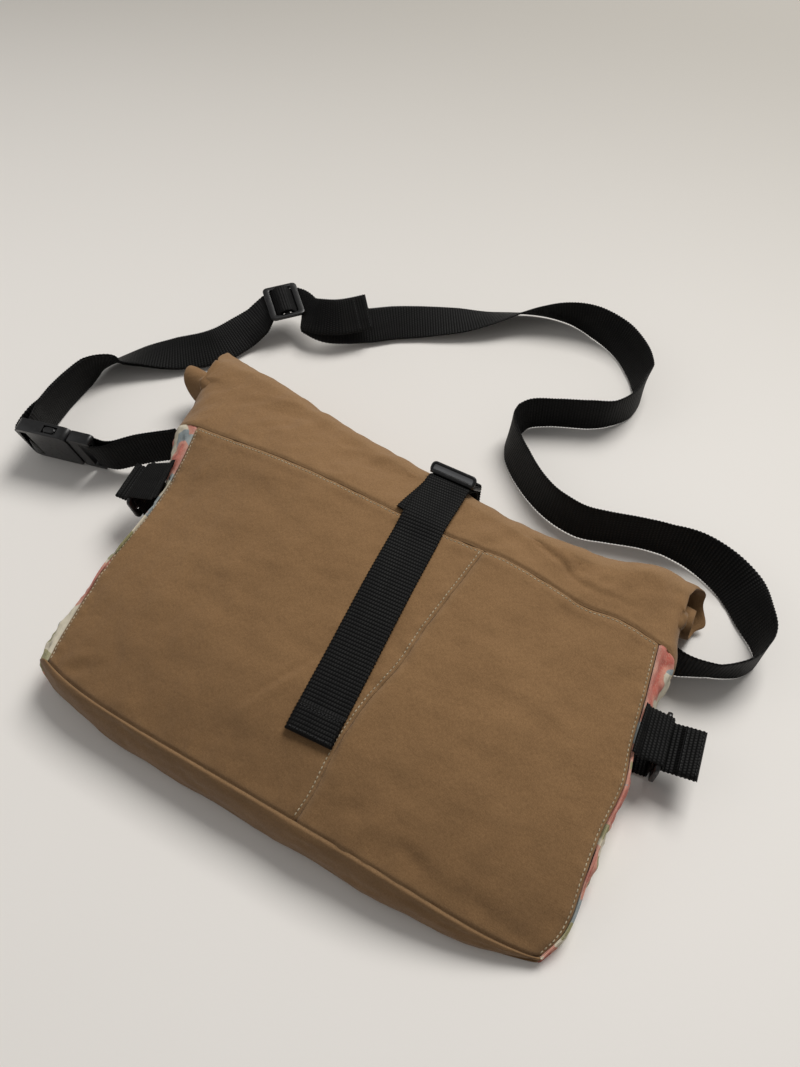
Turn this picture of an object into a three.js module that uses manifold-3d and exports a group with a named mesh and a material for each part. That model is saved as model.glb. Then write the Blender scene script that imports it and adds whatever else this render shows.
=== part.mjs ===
// Roll-top messenger bag lying on its back, in millimetres, +Z up.
// X runs across the bag, Y from its base to its rolled top, and the table is at Z = 0.
// The origin lies on the table, in the middle of the back panel's flat face.
import * as THREE from "three";
import { mergeVertices } from "three/addons/utils/BufferGeometryUtils.js";
import Module from "manifold-3d";

const wasm = await Module();
wasm.setup();

// Driving sizes of the sewn bag
const BODY_WIDTH = 326; // between the two front seams at the base
const BODY_HEIGHT = 180; // from the base seam to the top seam
const BODY_DEPTH = 70; // height of the front over the table at the top left
const CLOTH = 1.6; // canvas wall
const SEAM_GAP = 0.3; // room between two sewn pieces
const TOP_LENGTH = 45; // top seam to the middle of the roll
const ROLL_RADIUS = 20; // half of the roll's breadth
const ROLL_TURNS = 1.3; // turns of the rolled top behind the crest
const FLAT_TUBE = 3.2; // the rolled top pressed flat, two walls thick
const BACK_RISE = 4; // the back panel's upper edge lifts off the table by this

// Driving sizes of the webbing and its hardware
const WEB_WIDTH = 30;
const WEB_THICK = 1.6;
const CLEARANCE = 0.3; // room between webbing and what it lies on or passes through
const CLOSURE_LENGTH = 183; // closure strap's stretch on the front, from the crest to its end
const SIDE_TAIL = 18; // free tail of a side strap
const ROUTE_WIDTH = 326; // the bag's width at which the strap's route was set out
const SLIDER_LENGTH = 29; // along the webbing
const SLIDER_DEPTH = 3;
const SLIDER_BAR = 4;
const SLIDER_RIM = 3.6; // frame beside the webbing
const BUCKLE_LENGTH = 66;
const BUCKLE_DEPTH = 11;
const BUCKLE_BAR = 4;
const BUCKLE_SLOT = 6; // slot beside the bar at each end of the buckle
const BUCKLE_SPLIT = 13; // from the buckle's middle to where its halves meet
const POCKET_HALF = 13.5; // half width of the female half's pocket
const POCKET_LENGTH = 26;
const POCKET_DEEP = 3.3; // half depth of the pocket
const MALE_DEEP = 4.5; // half depth of the male half's base
const BUTTON_WINDOW = [-9, 3]; // along the buckle, where its squeeze buttons show
const CLOSURE_SHIFT = 4; // the ladder-lock's middle from the bag's, across
const ANCHOR_SHIFT = -4; // the closure strap's sewn end
const END_SHIFT = 9.5; // the closure strap's free end
const LOCK_TURN = 0.07; // the ladder-lock touches the roll this share of a turn past the crest
const LOCK_LIFT = 5; // and its middle bar stands this far off the roll
const LOCK_LENGTH = 24;
const LIP_HEIGHT = 6.5; // raised end of the ladder-lock
const LIP_DEPTH = 4;
const SIDE_STAND = 6; // a side slider hangs this far off the gusset
const SIDE_SLACK = 1.2; // room between a side strap and its gusset
const SKIN_SLACK = 0.5; // further room between webbing and the cloth it lies on

// Counts of the meshes
const ACROSS = 16; // steps across the front and the back
const DIVIDER = 10; // steps across from the left seam to the slanted seam of the front
const ROUND = 6; // steps down each side gusset
const ALONG = 9; // steps from the base seam to the top seam
const RISE = 4; // steps from the top seam to the crest
const ROLL = 16; // steps round the roll
const WEB_STEP = 9; // length of one step along webbing
const BEND_STEP = Math.PI / 6; // angle of one step round a bar

const lerp = THREE.MathUtils.lerp;
const clamp = THREE.MathUtils.clamp;
const radians = THREE.MathUtils.degToRad;
const vec = (x, y, z) => new THREE.Vector3(x, y, z);
const UP = vec(0, 0, 1);

// Value of one named column at x, on a smooth curve through the table's rows.
function column(table, key, name, x) {
  const last = table.length - 1;
  let i = 0;
  while (i < last - 1 && x > table[i + 1][key]) i += 1;
  const share = clamp((x - table[i][key]) / (table[i + 1][key] - table[i][key]), 0, 1);
  const [a, b] = [table[i][name], table[i + 1][name]];
  const before = i > 0 ? table[i - 1] : table[i];
  const after = i + 1 < last ? table[i + 2] : table[i + 1];
  const span = table[i + 1][key] - table[i][key];
  const slopeIn = ((b - before[name]) / (table[i + 1][key] - before[key])) * span;
  const slopeOut = ((after[name] - a) / (after[key] - table[i][key])) * span;
  const s2 = share * share;
  const s3 = s2 * share;
  return (
    a * (2 * s3 - 3 * s2 + 1) + slopeIn * (s3 - 2 * s2 + share) +
    b * (3 * s2 - 2 * s3) + slopeOut * (s3 - s2)
  );
}

// Heights of the front panel as shares of BODY_DEPTH: a row for each share of BODY_HEIGHT, and a
// column for the left seam, the left quarter, the middle, the right quarter and the right seam.
const FRONT = [
  { up: 0.0, left: 0.47, midLeft: 0.46, middle: 0.45, midRight: 0.41, right: 0.17 },
  { up: 0.25, left: 0.56, midLeft: 0.64, middle: 0.65, midRight: 0.55, right: 0.28 },
  { up: 0.5, left: 0.7, midLeft: 0.78, middle: 0.76, midRight: 0.66, right: 0.38 },
  { up: 0.75, left: 0.75, midLeft: 0.92, middle: 0.87, midRight: 0.73, right: 0.5 },
  { up: 1.0, left: 0.96, midLeft: 1.03, middle: 0.93, midRight: 0.8, right: 0.6 },
];

// Places of the side seams and the bulge of the gussets, as shares of half of BODY_WIDTH.
const SIDES = [
  { up: 0.0, left: -1.0, right: 1.0, leftBulge: 0.09, rightBulge: 0.03 },
  { up: 0.1, left: -1.01, right: 1.045, leftBulge: 0.12, rightBulge: 0.03 },
  { up: 0.4, left: -1.04, right: 1.045, leftBulge: 0.135, rightBulge: 0.035 },
  { up: 0.7, left: -1.065, right: 1.0, leftBulge: 0.15, rightBulge: 0.06 },
  { up: 1.0, left: -1.09, right: 0.96, leftBulge: 0.19, rightBulge: 0.11 },
];

// The crest over the roll, from the left end (across = -1) to the right end: the middle of the
// roll past the top seam as a share of TOP_LENGTH, and its top as a share of BODY_DEPTH.
const CREST = [
  { across: -1.25, past: 1.36, top: 0.84 },
  { across: -1.0, past: 1.42, top: 0.93 },
  { across: -0.6, past: 1.12, top: 0.92 },
  { across: -0.3, past: 0.94, top: 0.87 },
  { across: 0.1, past: 0.73, top: 0.86 },
  { across: 0.35, past: 0.62, top: 0.81 },
  { across: 0.6, past: 0.72, top: 0.76 },
  { across: 0.85, past: 0.86, top: 0.7 },
  { across: 1.0, past: 0.96, top: 0.67 },
  { across: 1.15, past: 0.78, top: 0.6 },
];

// How far the flattened tube's folded edges stand out of the roll's ends, in times the bulge of the
// gussets, at shares of a turn past the crest.
const ROLL_ENDS = [
  { turn: 0, left: 1.2, right: 1.2 },
  { turn: 0.17, left: 1.9, right: 1.25 },
  { turn: 0.4, left: 1.5, right: 1.45 },
  { turn: 0.85, left: 2.4, right: 1.3 },
  { turn: 1.3, left: 2.3, right: 1.2 },
];

const BASE_BOW = 8; // the base seam bows out between its corners
const BACK_BOW = 14; // the back panel's base edge lies this far out
const BASE_BULGE = 5; // the base panel stands out between its two seams
const FLAP = 15; // the hem's corner stands this far out of the roll's left end
const FLAP_TURN = 0.17; // at this share of a turn past the crest
const BACK_SHORT = 14; // the back panel's top edge lies this far short of the front's
const DIVIDER_LOW = 0.13; // foot and head of the front's slanted seam, from -1 at the left to 1
const DIVIDER_HIGH = 0.31;
const LIFT_START = 0.85; // share of the body's height where the back panel leaves the table

const halfWidth = BODY_WIDTH / 2;
const rollFloor = WEB_THICK + 2 * CLEARANCE; // the closure strap passes under the roll
const originShift = -BODY_HEIGHT / 2;

const side = (name, up) => column(SIDES, "up", name, up) * halfWidth;

// Front panel's height at across (-1 to 1) and up (0 to 1): the five columns of FRONT as a row.
function frontHeight(across, up) {
  const row = [
    { at: -1, z: column(FRONT, "up", "left", up) },
    { at: -0.5, z: column(FRONT, "up", "midLeft", up) },
    { at: 0, z: column(FRONT, "up", "middle", up) },
    { at: 0.5, z: column(FRONT, "up", "midRight", up) },
    { at: 1, z: column(FRONT, "up", "right", up) },
  ];
  return column(row, "at", "z", across) * BODY_DEPTH;
}

function frontPoint(across, up) {
  const bow = -BASE_BOW * (1 - Math.abs(across) ** 6);
  return vec(
    lerp(side("left", up), side("right", up), (across + 1) / 2),
    lerp(bow, BODY_HEIGHT, up),
    frontHeight(across, up),
  );
}

function backPoint(across, up) {
  const bow = -BACK_BOW * (1 - 0.6 * Math.abs(across) ** 4);
  const lift = clamp((up - LIFT_START) / (1 - LIFT_START), 0, 1);
  return vec(
    lerp(side("left", up), side("right", up), (across + 1) / 2),
    lerp(bow, BODY_HEIGHT - BACK_SHORT, up),
    BACK_RISE * lift * lift,
  );
}

// Place across the bag of a mesh step: one of the steps runs along the slanted seam of the front.
function placeAcross(i, up) {
  const seam = lerp(DIVIDER_LOW, DIVIDER_HIGH, up);
  return i < DIVIDER ? lerp(-1, seam, i / DIVIDER) : lerp(seam, 1, (i - DIVIDER) / (ACROSS - DIVIDER));
}

// Points of one ring round the bag: front from left to right, right gusset down, back from right
// to left, left gusset up. A gusset is half an ellipse between its front and back seams.
function ringFrom(up, front, back, leftBulge, rightBulge) {
  const ring = [];
  const gusset = (f, b, bulge) => {
    const middle = f.clone().add(b).multiplyScalar(0.5);
    const half = f.clone().sub(b).multiplyScalar(0.5);
    return (angle) => {
      const p = middle.clone().addScaledVector(half, Math.cos(angle));
      p.x += bulge * Math.sin(angle);
      return p;
    };
  };
  for (let i = 0; i <= ACROSS; i += 1) ring.push(front(placeAcross(i, up)));
  const right = gusset(front(1), back(1), rightBulge);
  for (let i = 1; i < ROUND; i += 1) ring.push(right((Math.PI * i) / ROUND));
  for (let i = ACROSS; i >= 0; i -= 1) ring.push(back(placeAcross(i, up)));
  const left = gusset(back(-1), front(-1), -leftBulge);
  for (let i = 1; i < ROUND; i += 1) ring.push(left((Math.PI * i) / ROUND));
  return ring;
}

const bodyRing = (up) =>
  ringFrom(
    up,
    (across) => frontPoint(across, up),
    (across) => backPoint(across, up),
    side("leftBulge", up),
    side("rightBulge", up),
  );

// Middle, half breadth and half height of the roll at a place across the bag.
function rollAt(across) {
  const top = column(CREST, "across", "top", across) * BODY_DEPTH;
  const half = (top - rollFloor) / 2;
  return {
    y: BODY_HEIGHT + column(CREST, "across", "past", across) * TOP_LENGTH,
    z: rollFloor + half,
    half,
  };
}

// Point of the rolled top: turn runs from 0 at the crest to ROLL_TURNS, the roll tightens as it
// goes round, and out is the distance outside the middle of the flat tube.
function rollPoint(across, x, turn, out) {
  const roll = rollAt(across);
  const angle = Math.PI / 2 - turn * 2 * Math.PI;
  const shrink = 1 - 0.45 * turn;
  const breadth = ROLL_RADIUS * shrink - FLAT_TUBE / 2 + out;
  const height = roll.half * shrink - FLAT_TUBE / 2 + out;
  const settle = (1 - shrink) * roll.half * 0.9;
  return vec(x, roll.y + breadth * Math.cos(angle), roll.z - settle + height * Math.sin(angle));
}

// The top's ring at a share of the way from the top seam to the crest: the front wall runs level
// and the back wall climbs before the roll.
function risingRing(share) {
  const crest = (across, x, out) => rollPoint(across, x, 0, out);
  const front = (across) => {
    const low = frontPoint(across, 1);
    const high = crest(across, low.x, FLAT_TUBE / 2);
    const ease = share * share * (3 - 2 * share);
    return vec(low.x, lerp(low.y, high.y, share), lerp(low.z, high.z, ease));
  };
  const back = (across) => {
    const low = backPoint(across, 1);
    const high = crest(across, low.x, -FLAT_TUBE / 2);
    const reach = 1 - (1 - share) ** 2;
    const near = rollAt(across).y - ROLL_RADIUS - 2 * FLAT_TUBE;
    const y = share < 0.75 ? lerp(low.y, near, share / 0.75) : lerp(near, high.y, (share - 0.75) * 4);
    return vec(low.x, y, lerp(low.z, high.z, share < 0.75 ? reach * 0.8 * (share / 0.75) : reach));
  };
  const widen = lerp(1, ROLL_ENDS[0].left, share);
  return ringFrom(1, front, back, side("leftBulge", 1) * widen, side("rightBulge", 1) * widen);
}

// Where each stretch of a ring starts
const firstOf = { front: 0, right: ACROSS, back: ACROSS + ROUND, left: 2 * ACROSS + ROUND };

// The flat tube's ring round the roll. Its two folded edges lie beyond the front seams.
function rollRing(turn) {
  const place = (out) => (across) => rollPoint(across, frontPoint(across, 1).x, turn, out);
  const ring = ringFrom(
    1,
    place(FLAT_TUBE / 2),
    place(-FLAT_TUBE / 2),
    side("leftBulge", 1) * column(ROLL_ENDS, "turn", "left", turn),
    side("rightBulge", 1) * column(ROLL_ENDS, "turn", "right", turn),
  );
  const flap = FLAP * Math.exp(-(((turn - FLAP_TURN) / 0.08) ** 2));
  for (let i = 1; i < ROUND; i += 1) {
    ring[firstOf.left + i].y += flap * Math.sin((Math.PI * i) / ROUND);
  }
  return ring;
}

// All rings, from the base seam to the hem inside the roll.
const rings = [];
for (let i = 0; i <= ALONG; i += 1) rings.push(bodyRing(i / ALONG));
for (let i = 1; i <= RISE; i += 1) rings.push(risingRing(i / (RISE + 1)));
for (let i = 0; i <= ROLL; i += 1) rings.push(rollRing((ROLL_TURNS * i) / ROLL));
const ringSize = rings[0].length;
const lastHollow = ALONG + RISE;

// Inner face of the walls: each ring pulled in by the wall, square to its own outline.
function pulledIn(k, wall) {
  const ring = rings[k];
  return ring.map((p, n) => {
    const before = ring[(n + ringSize - 1) % ringSize];
    const after = ring[(n + 1) % ringSize];
    const along = rings[k + 1][n].clone().sub(rings[Math.max(k - 1, 0)][n]).normalize();
    const inA = along.clone().cross(p.clone().sub(before)).normalize();
    const inB = along.clone().cross(after.clone().sub(p)).normalize();
    const mean = inA.clone().add(inB).normalize();
    const mitre = Math.max(mean.dot(inA), 0.6);
    return p.clone().addScaledVector(mean, wall / mitre);
  });
}
const innerRings = [];
for (let k = 0; k <= lastHollow; k += 1) innerRings.push(pulledIn(k, CLOTH));
for (const p of innerRings[0]) p.y += CLOTH;

// Closed mesh from outer and inner grids of points; both are rows of equal length.
function sheetGeometry(outer, inner) {
  const rows = outer.length;
  const columns = outer[0].length;
  const points = [...outer.flat(), ...inner.flat()];
  const index = [];
  const top = (i, j) => i * columns + j;
  const under = (i, j) => rows * columns + i * columns + j;
  const quad = (a, b, c, d) => index.push(a, b, c, a, c, d);
  for (let i = 0; i + 1 < rows; i += 1) {
    for (let j = 0; j + 1 < columns; j += 1) {
      quad(top(i, j), top(i, j + 1), top(i + 1, j + 1), top(i + 1, j));
      quad(under(i, j), under(i + 1, j), under(i + 1, j + 1), under(i, j + 1));
    }
  }
  for (let j = 0; j + 1 < columns; j += 1) {
    quad(under(0, j), under(0, j + 1), top(0, j + 1), top(0, j));
    quad(top(rows - 1, j), top(rows - 1, j + 1), under(rows - 1, j + 1), under(rows - 1, j));
  }
  for (let i = 0; i + 1 < rows; i += 1) {
    quad(top(i, 0), top(i + 1, 0), under(i + 1, 0), under(i, 0));
    quad(under(i, columns - 1), under(i + 1, columns - 1), top(i + 1, columns - 1), top(i, columns - 1));
  }
  return indexed(points, index);
}

function indexed(points, index) {
  const geometry = new THREE.BufferGeometry().setFromPoints(points);
  geometry.setIndex(index);
  return geometry;
}

// Draws the four edges of a grid in by half of the seam gap.
function drawnIn(grid) {
  const toward = (p, q) => p.clone().addScaledVector(q.clone().sub(p).normalize(), SEAM_GAP / 2);
  const rows = grid.map((row) => row.map((p) => p.clone()));
  const last = rows.length - 1;
  for (let j = 0; j < rows[0].length; j += 1) {
    rows[0][j] = toward(grid[0][j], grid[1][j]);
    rows[last][j] = toward(grid[last][j], grid[last - 1][j]);
  }
  for (const row of rows) {
    const end = row.length - 1;
    const [a, b] = [toward(row[0], row[1]), toward(row[end], row[end - 1])];
    row[0] = a;
    row[end] = b;
  }
  return rows;
}

// Panel of the body: a stretch of every ring from the base seam to the top seam.
function bodyPanel(first, count) {
  const pick = (source) =>
    source.slice(0, ALONG + 1).map((ring) => {
      const row = [];
      for (let n = first; n <= first + count; n += 1) row.push(ring[n % ringSize]);
      return row;
    });
  return sheetGeometry(drawnIn(pick(rings)), drawnIn(pick(innerRings)));
}

// Base panel: a patch between the four stretches of the first ring, standing out a little.
function basePanel() {
  const patch = (ring, bulge) => {
    const grid = [];
    for (let r = 0; r <= ROUND; r += 1) {
      const row = [];
      const left = ring[(ringSize - r) % ringSize];
      const right = ring[firstOf.right + r];
      for (let i = 0; i <= ACROSS; i += 1) {
        const [u, v] = [i / ACROSS, r / ROUND];
        const front = ring[i];
        const back = ring[firstOf.left - i];
        const p = front.clone().lerp(back, v).add(left.clone().lerp(right, u));
        const [fl, fr, bl, br] = [ring[0], ring[ACROSS], ring[firstOf.left], ring[firstOf.back]];
        p.sub(fl.clone().lerp(fr, u).lerp(bl.clone().lerp(br, u), v));
        p.y -= bulge * Math.sin(Math.PI * v) * (1 - (2 * u - 1) ** 6);
        row.push(p);
      }
      grid.push(row);
    }
    return grid;
  };
  const outer = drawnIn(patch(rings[0], BASE_BULGE)).reverse();
  const inner = drawnIn(patch(innerRings[0], BASE_BULGE)).reverse();
  return sheetGeometry(outer, inner);
}

// The rolled top: the rings past the top seam, hollow up to the crest and pressed flat beyond it.
function rolledTop() {
  const outer = rings.slice(ALONG).map((ring) => ring.map((p) => p.clone()));
  const inner = innerRings.slice(ALONG).map((ring) => ring.map((p) => p.clone()));
  for (const grid of [outer, inner]) {
    grid[0].forEach((p, n) => {
      const next = grid[1][n].clone().sub(p).normalize();
      p.addScaledVector(next, SEAM_GAP / 2);
    });
  }
  const points = [...outer.flat(), ...inner.flat()];
  const index = [];
  const at = (grid, k, n) => (grid === outer ? 0 : outer.length * ringSize) + k * ringSize + (n % ringSize);
  const quad = (a, b, c, d) => index.push(a, b, c, a, c, d);
  for (let n = 0; n < ringSize; n += 1) {
    for (let k = 0; k + 1 < outer.length; k += 1) {
      quad(at(outer, k, n), at(outer, k, n + 1), at(outer, k + 1, n + 1), at(outer, k + 1, n));
    }
    for (let k = 0; k + 1 < inner.length; k += 1) {
      quad(at(inner, k, n), at(inner, k + 1, n), at(inner, k + 1, n + 1), at(inner, k, n + 1));
    }
    quad(at(inner, 0, n), at(inner, 0, n + 1), at(outer, 0, n + 1), at(outer, 0, n));
  }
  // Cap across a flattened ring: a strip between its upper and lower walls.
  const cap = (grid, k, facing) => {
    const start = firstOf.left + ROUND / 2;
    const steps = ACROSS + ROUND;
    for (let i = 0; i < steps; i += 1) {
      const [a, b] = [at(grid, k, start + i), at(grid, k, start + i + 1)];
      const [c, d] = [at(grid, k, start - i + ringSize), at(grid, k, start - i - 1 + ringSize)];
      if (i > 0) index.push(...(facing ? [a, b, c] : [a, c, b]));
      if (i < steps - 1) index.push(...(facing ? [b, d, c] : [b, c, d]));
    }
  };
  cap(outer, outer.length - 1, true);
  cap(inner, inner.length - 1, false);
  return indexed(points, index);
}

// Height of the bag's upper face at a plan place, up to the crest.
function skinHeight(x, y) {
  const across = clamp((2 * (x - side("left", 1))) / (side("right", 1) - side("left", 1)) - 1, -1, 1);
  if (y < BODY_HEIGHT) {
    const up = clamp(y / BODY_HEIGHT, 0, 1);
    const span = side("right", up) - side("left", up);
    const place = clamp((2 * (x - side("left", up))) / span - 1, -1, 1);
    return frontHeight(place, clamp((y + BASE_BOW) / (BODY_HEIGHT + BASE_BOW), 0, 1));
  }
  const crest = rollAt(across);
  const share = clamp((y - BODY_HEIGHT) / (crest.y - BODY_HEIGHT), 0, 1);
  const ease = share * share * (3 - 2 * share);
  return lerp(frontHeight(across, 1), crest.z + crest.half, ease);
}

// Webbing swept along stations. Each station has its middle c, its unit width direction w, its
// unit thickness direction n, and for an end cut to a surface its two corners.
function webbing(stations) {
  const outer = [];
  const inner = [];
  for (const { c, w, n, corners } of stations) {
    const half = w.clone().multiplyScalar(WEB_WIDTH / 2);
    const [a, b] = corners ?? [c.clone().sub(half), c.clone().add(half)];
    const up = n.clone().multiplyScalar(WEB_THICK / 2);
    outer.push([a.clone().add(up), b.clone().add(up)]);
    inner.push([a.clone().sub(up), b.clone().sub(up)]);
  }
  return sheetGeometry(outer, inner);
}

const station = (c, w, ahead) => ({ c, w, ahead, n: w.clone().cross(ahead).normalize() });

// Stations along a smooth curve through rows of { x, y, z, lean }. lean turns the width from
// lying flat to the left of the way ahead (0) to standing upright (90).
function stationsOf(rows) {
  const curve = new THREE.CatmullRomCurve3(rows.map((r) => vec(r.x, r.y, r.z)), false, "centripetal");
  const count = Math.max(2, Math.round(curve.getLength() / WEB_STEP));
  const stations = [];
  for (let i = 0; i <= count; i += 1) {
    const t = curve.getUtoTmapping(i / count);
    const place = clamp(t, 0, 1) * (rows.length - 1);
    const row = Math.min(Math.floor(place), rows.length - 2);
    const lean = radians(lerp(rows[row].lean, rows[row + 1].lean, place - row));
    const ahead = curve.getTangent(t);
    const left = UP.clone().cross(ahead).normalize();
    const w = left.multiplyScalar(Math.cos(lean)).addScaledVector(UP, Math.sin(lean));
    w.addScaledVector(ahead, -w.dot(ahead)).normalize();
    stations.push(station(curve.getPoint(t), w, ahead));
  }
  return stations;
}

// The same stations run the other way.
const turnedBack = (stations) =>
  stations.map((s) => station(s.c, s.w, s.ahead.clone().negate())).reverse();

// Middle line of webbing drawn tight past round corners in a plane. Each corner is { a, b, turn }:
// turn is 1 where the line bends left round it, -1 where it bends right and 0 for a plain point,
// and lift is the distance kept from it.
function tautLine(corners) {
  const reachOf = (corner) => corner.turn * (corner.lift ?? 0);
  const headings = [];
  for (let i = 0; i + 1 < corners.length; i += 1) {
    const [p, q] = [corners[i], corners[i + 1]];
    const span = Math.hypot(q.a - p.a, q.b - p.b);
    const drift = Math.asin(clamp((reachOf(q) - reachOf(p)) / span, -1, 1));
    headings.push(Math.atan2(q.b - p.b, q.a - p.a) - drift);
  }
  const line = [];
  corners.forEach((corner, i) => {
    const from = headings[Math.max(i - 1, 0)];
    const to = headings[Math.min(i, headings.length - 1)];
    const bend = ((to - from + 5 * Math.PI) % (2 * Math.PI)) - Math.PI;
    const steps = corner.turn === 0 ? 0 : Math.max(1, Math.ceil(Math.abs(bend) / BEND_STEP));
    for (let k = 0; k <= steps; k += 1) {
      const heading = from + bend * (steps === 0 ? 0.5 : k / steps);
      line.push({
        a: corner.a + reachOf(corner) * Math.sin(heading),
        b: corner.b - reachOf(corner) * Math.cos(heading),
        heading,
      });
    }
  });
  return line;
}

// Stations of a tight line in the plane of the unit directions along and off, through an origin.
function planeStations(line, { origin, across, along, off }) {
  return line.map(({ a, b, heading }) => {
    const c = origin.clone().addScaledVector(along, a).addScaledVector(off, b);
    const ahead = along.clone().multiplyScalar(Math.cos(heading)).addScaledVector(off, Math.sin(heading));
    return station(c, across.clone(), ahead);
  });
}

// A piece's own frame: across, along and off are its unit directions of width, length and
// thickness, off being across x along.
const frameOf = (origin, across, along) => ({ origin, across, along, off: across.clone().cross(along) });

// Box in a piece's frame, between two corners given as [across, along, off].
function box([x0, y0, z0], [x1, y1, z1]) {
  return wasm.Manifold.cube([x1 - x0, y1 - y0, z1 - z0]).translate([x0, y0, z0]);
}

// Plate with rounded corners, thick from low to high, drawn as across by along.
function roundedPlate(x0, x1, y0, y1, round, low, high) {
  const outline = [];
  const corner = (x, y, start) => {
    for (let k = 0; k <= 4; k += 1) {
      const angle = start + (k * Math.PI) / 8;
      outline.push([x + round * Math.cos(angle), y + round * Math.sin(angle)]);
    }
  };
  corner(x1 - round, y1 - round, 0);
  corner(x0 + round, y1 - round, Math.PI / 2);
  corner(x0 + round, y0 + round, Math.PI);
  corner(x1 - round, y0 + round, 1.5 * Math.PI);
  return wasm.Manifold.extrude(new wasm.CrossSection([outline]), high - low).translate([0, 0, low]);
}

// Mesh geometry of a solid drawn in a piece's frame, set in its place.
function placed(manifold, { origin, across, along, off }) {
  const mesh = manifold.getMesh();
  const geometry = new THREE.BufferGeometry();
  geometry.setAttribute("position", new THREE.BufferAttribute(new Float32Array(mesh.vertProperties), 3));
  geometry.setIndex(new THREE.BufferAttribute(new Uint32Array(mesh.triVerts), 1));
  return geometry.applyMatrix4(new THREE.Matrix4().makeBasis(across, along, off).setPosition(origin));
}

const lift = WEB_THICK / 2 + CLEARANCE; // from a bar to the middle of the webbing on it
const layerStep = WEB_THICK + CLEARANCE; // between the middles of two layers
const slotHalf = WEB_WIDTH / 2 + CLEARANCE; // half width of a slot for webbing
const wide = slotHalf + SLIDER_RIM; // half width of a fitting

const barHalf = SLIDER_DEPTH / 2;

const parts = new THREE.Group();
parts.position.y = originShift;

function add(name, geometry, finish) {
  const mesh = new THREE.Mesh(geometry, finish);
  mesh.name = name;
  parts.add(mesh);
  return mesh;
}

const canvas = new THREE.MeshStandardMaterial({ color: 0x80633f, roughness: 0.9, metalness: 0 });
const print = new THREE.MeshStandardMaterial({ color: 0xd8c9ae, roughness: 0.9, metalness: 0 });
const black = new THREE.MeshStandardMaterial({ color: 0x16161a, roughness: 0.85, metalness: 0 });
const plastic = new THREE.MeshStandardMaterial({ color: 0x202124, roughness: 0.5, metalness: 0 });

// The sewn bag
add("front_panel_left", bodyPanel(firstOf.front, DIVIDER), canvas);
add("front_panel_right", bodyPanel(firstOf.front + DIVIDER, ACROSS - DIVIDER), canvas);
add("side_gusset_right", bodyPanel(firstOf.right, ROUND), print);
add("back_panel", bodyPanel(firstOf.back, ACROSS), canvas);
add("side_gusset_left", bodyPanel(firstOf.left, ROUND), print);
add("base_panel", basePanel(), canvas);
add("rolled_top", rolledTop(), canvas);

// The closure: a ladder-lock that stands over the crest and slopes down behind it
const acrossAt = (x) => (2 * (x - side("left", 1))) / (side("right", 1) - side("left", 1)) - 1;
const onRoll = (x, turn, out) => rollPoint(acrossAt(x), x, turn, FLAT_TUBE / 2 + out);
const lockX = CLOSURE_SHIFT;
const lockAcross = onRoll(lockX + WEB_WIDTH / 2, LOCK_TURN, 0)
  .sub(onRoll(lockX - WEB_WIDTH / 2, LOCK_TURN, 0)).normalize();
const lockAlong = onRoll(lockX, LOCK_TURN + 0.02, 0).sub(onRoll(lockX, LOCK_TURN - 0.02, 0));
lockAlong.addScaledVector(lockAcross, -lockAlong.dot(lockAcross)).normalize();
const lock = frameOf(onRoll(lockX, LOCK_TURN, 0), lockAcross, lockAlong);
lock.origin.addScaledVector(lock.off, LOCK_LIFT);
const lockHalf = LOCK_LENGTH / 2;
const lockSlot = (LOCK_LENGTH - 3 * SLIDER_BAR) / 2;
const lockBars = {
  front: [-lockHalf, -lockHalf + SLIDER_BAR],
  middle: [-SLIDER_BAR / 2, SLIDER_BAR / 2],
  rear: [lockHalf - SLIDER_BAR, lockHalf],
};
const lockLip = roundedPlate(-wide, wide, -barHalf, LIP_HEIGHT, 2.4, 0, LIP_DEPTH)
  .rotate([90, 0, 0]).translate([0, lockBars.front[1], 0]);
const slotBetween = (from, to) =>
  box([-slotHalf, from + 1e-3, -4 * barHalf], [slotHalf, to - 1e-3, 4 * barHalf]);
const ladderLock = roundedPlate(-wide, wide, -lockHalf, lockHalf, 2, -barHalf, barHalf)
  .subtract(slotBetween(lockBars.front[1], lockBars.middle[0]))
  .subtract(slotBetween(lockBars.middle[1], lockBars.rear[0]))
  .add(lockLip);
add("closure_buckle", placed(ladderLock, lock), plastic);

// Station on the bag's upper face at a plan place, lifted off it, for webbing that runs along Y.
function onSkin(x, y, off, facing) {
  const half = WEB_WIDTH / 2;
  const at = (dx, dy) => vec(x + dx, y + dy, skinHeight(x + dx, y + dy));
  const w = at(half, 0).sub(at(-half, 0)).normalize();
  const ahead = at(0, 2).sub(at(0, -2)).normalize().multiplyScalar(facing);
  const c = at(half, 0).add(at(-half, 0)).multiplyScalar(0.5);
  c.z = Math.max(c.z, at(0, 0).z) + lift + off;
  return station(c, w, ahead);
}

// The closure strap is sewn into the top seam, runs up to the ladder-lock and through it, and
// comes back over itself and down the front.
const inFrontOfLock = lock.origin.clone().addScaledVector(lock.along, -lockHalf);
const rising = [];
const risingStart = BODY_HEIGHT + SEAM_GAP;
const risingEnd = inFrontOfLock.y - 7;
for (let k = 0; k <= 4; k += 1) {
  const share = k / 4;
  const x = lerp(ANCHOR_SHIFT, lockX, share * 0.9);
  rising.push(onSkin(x, lerp(risingStart, risingEnd, share), SKIN_SLACK, 1));
}
const lockPath = tautLine([
  { a: -lockHalf - 1, b: -barHalf - layerStep, turn: 1, lift },
  { a: lockBars.middle[1], b: -barHalf, turn: 1, lift },
  { a: lockBars.middle[1], b: barHalf, turn: 1, lift },
  { a: lockBars.middle[0], b: barHalf, turn: 1, lift },
  { a: lockBars.front[1], b: -barHalf, turn: -1, lift },
  { a: lockBars.front[0], b: -barHalf, turn: -1, lift },
]);
const falling = [];
const fallSteps = 22;
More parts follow.
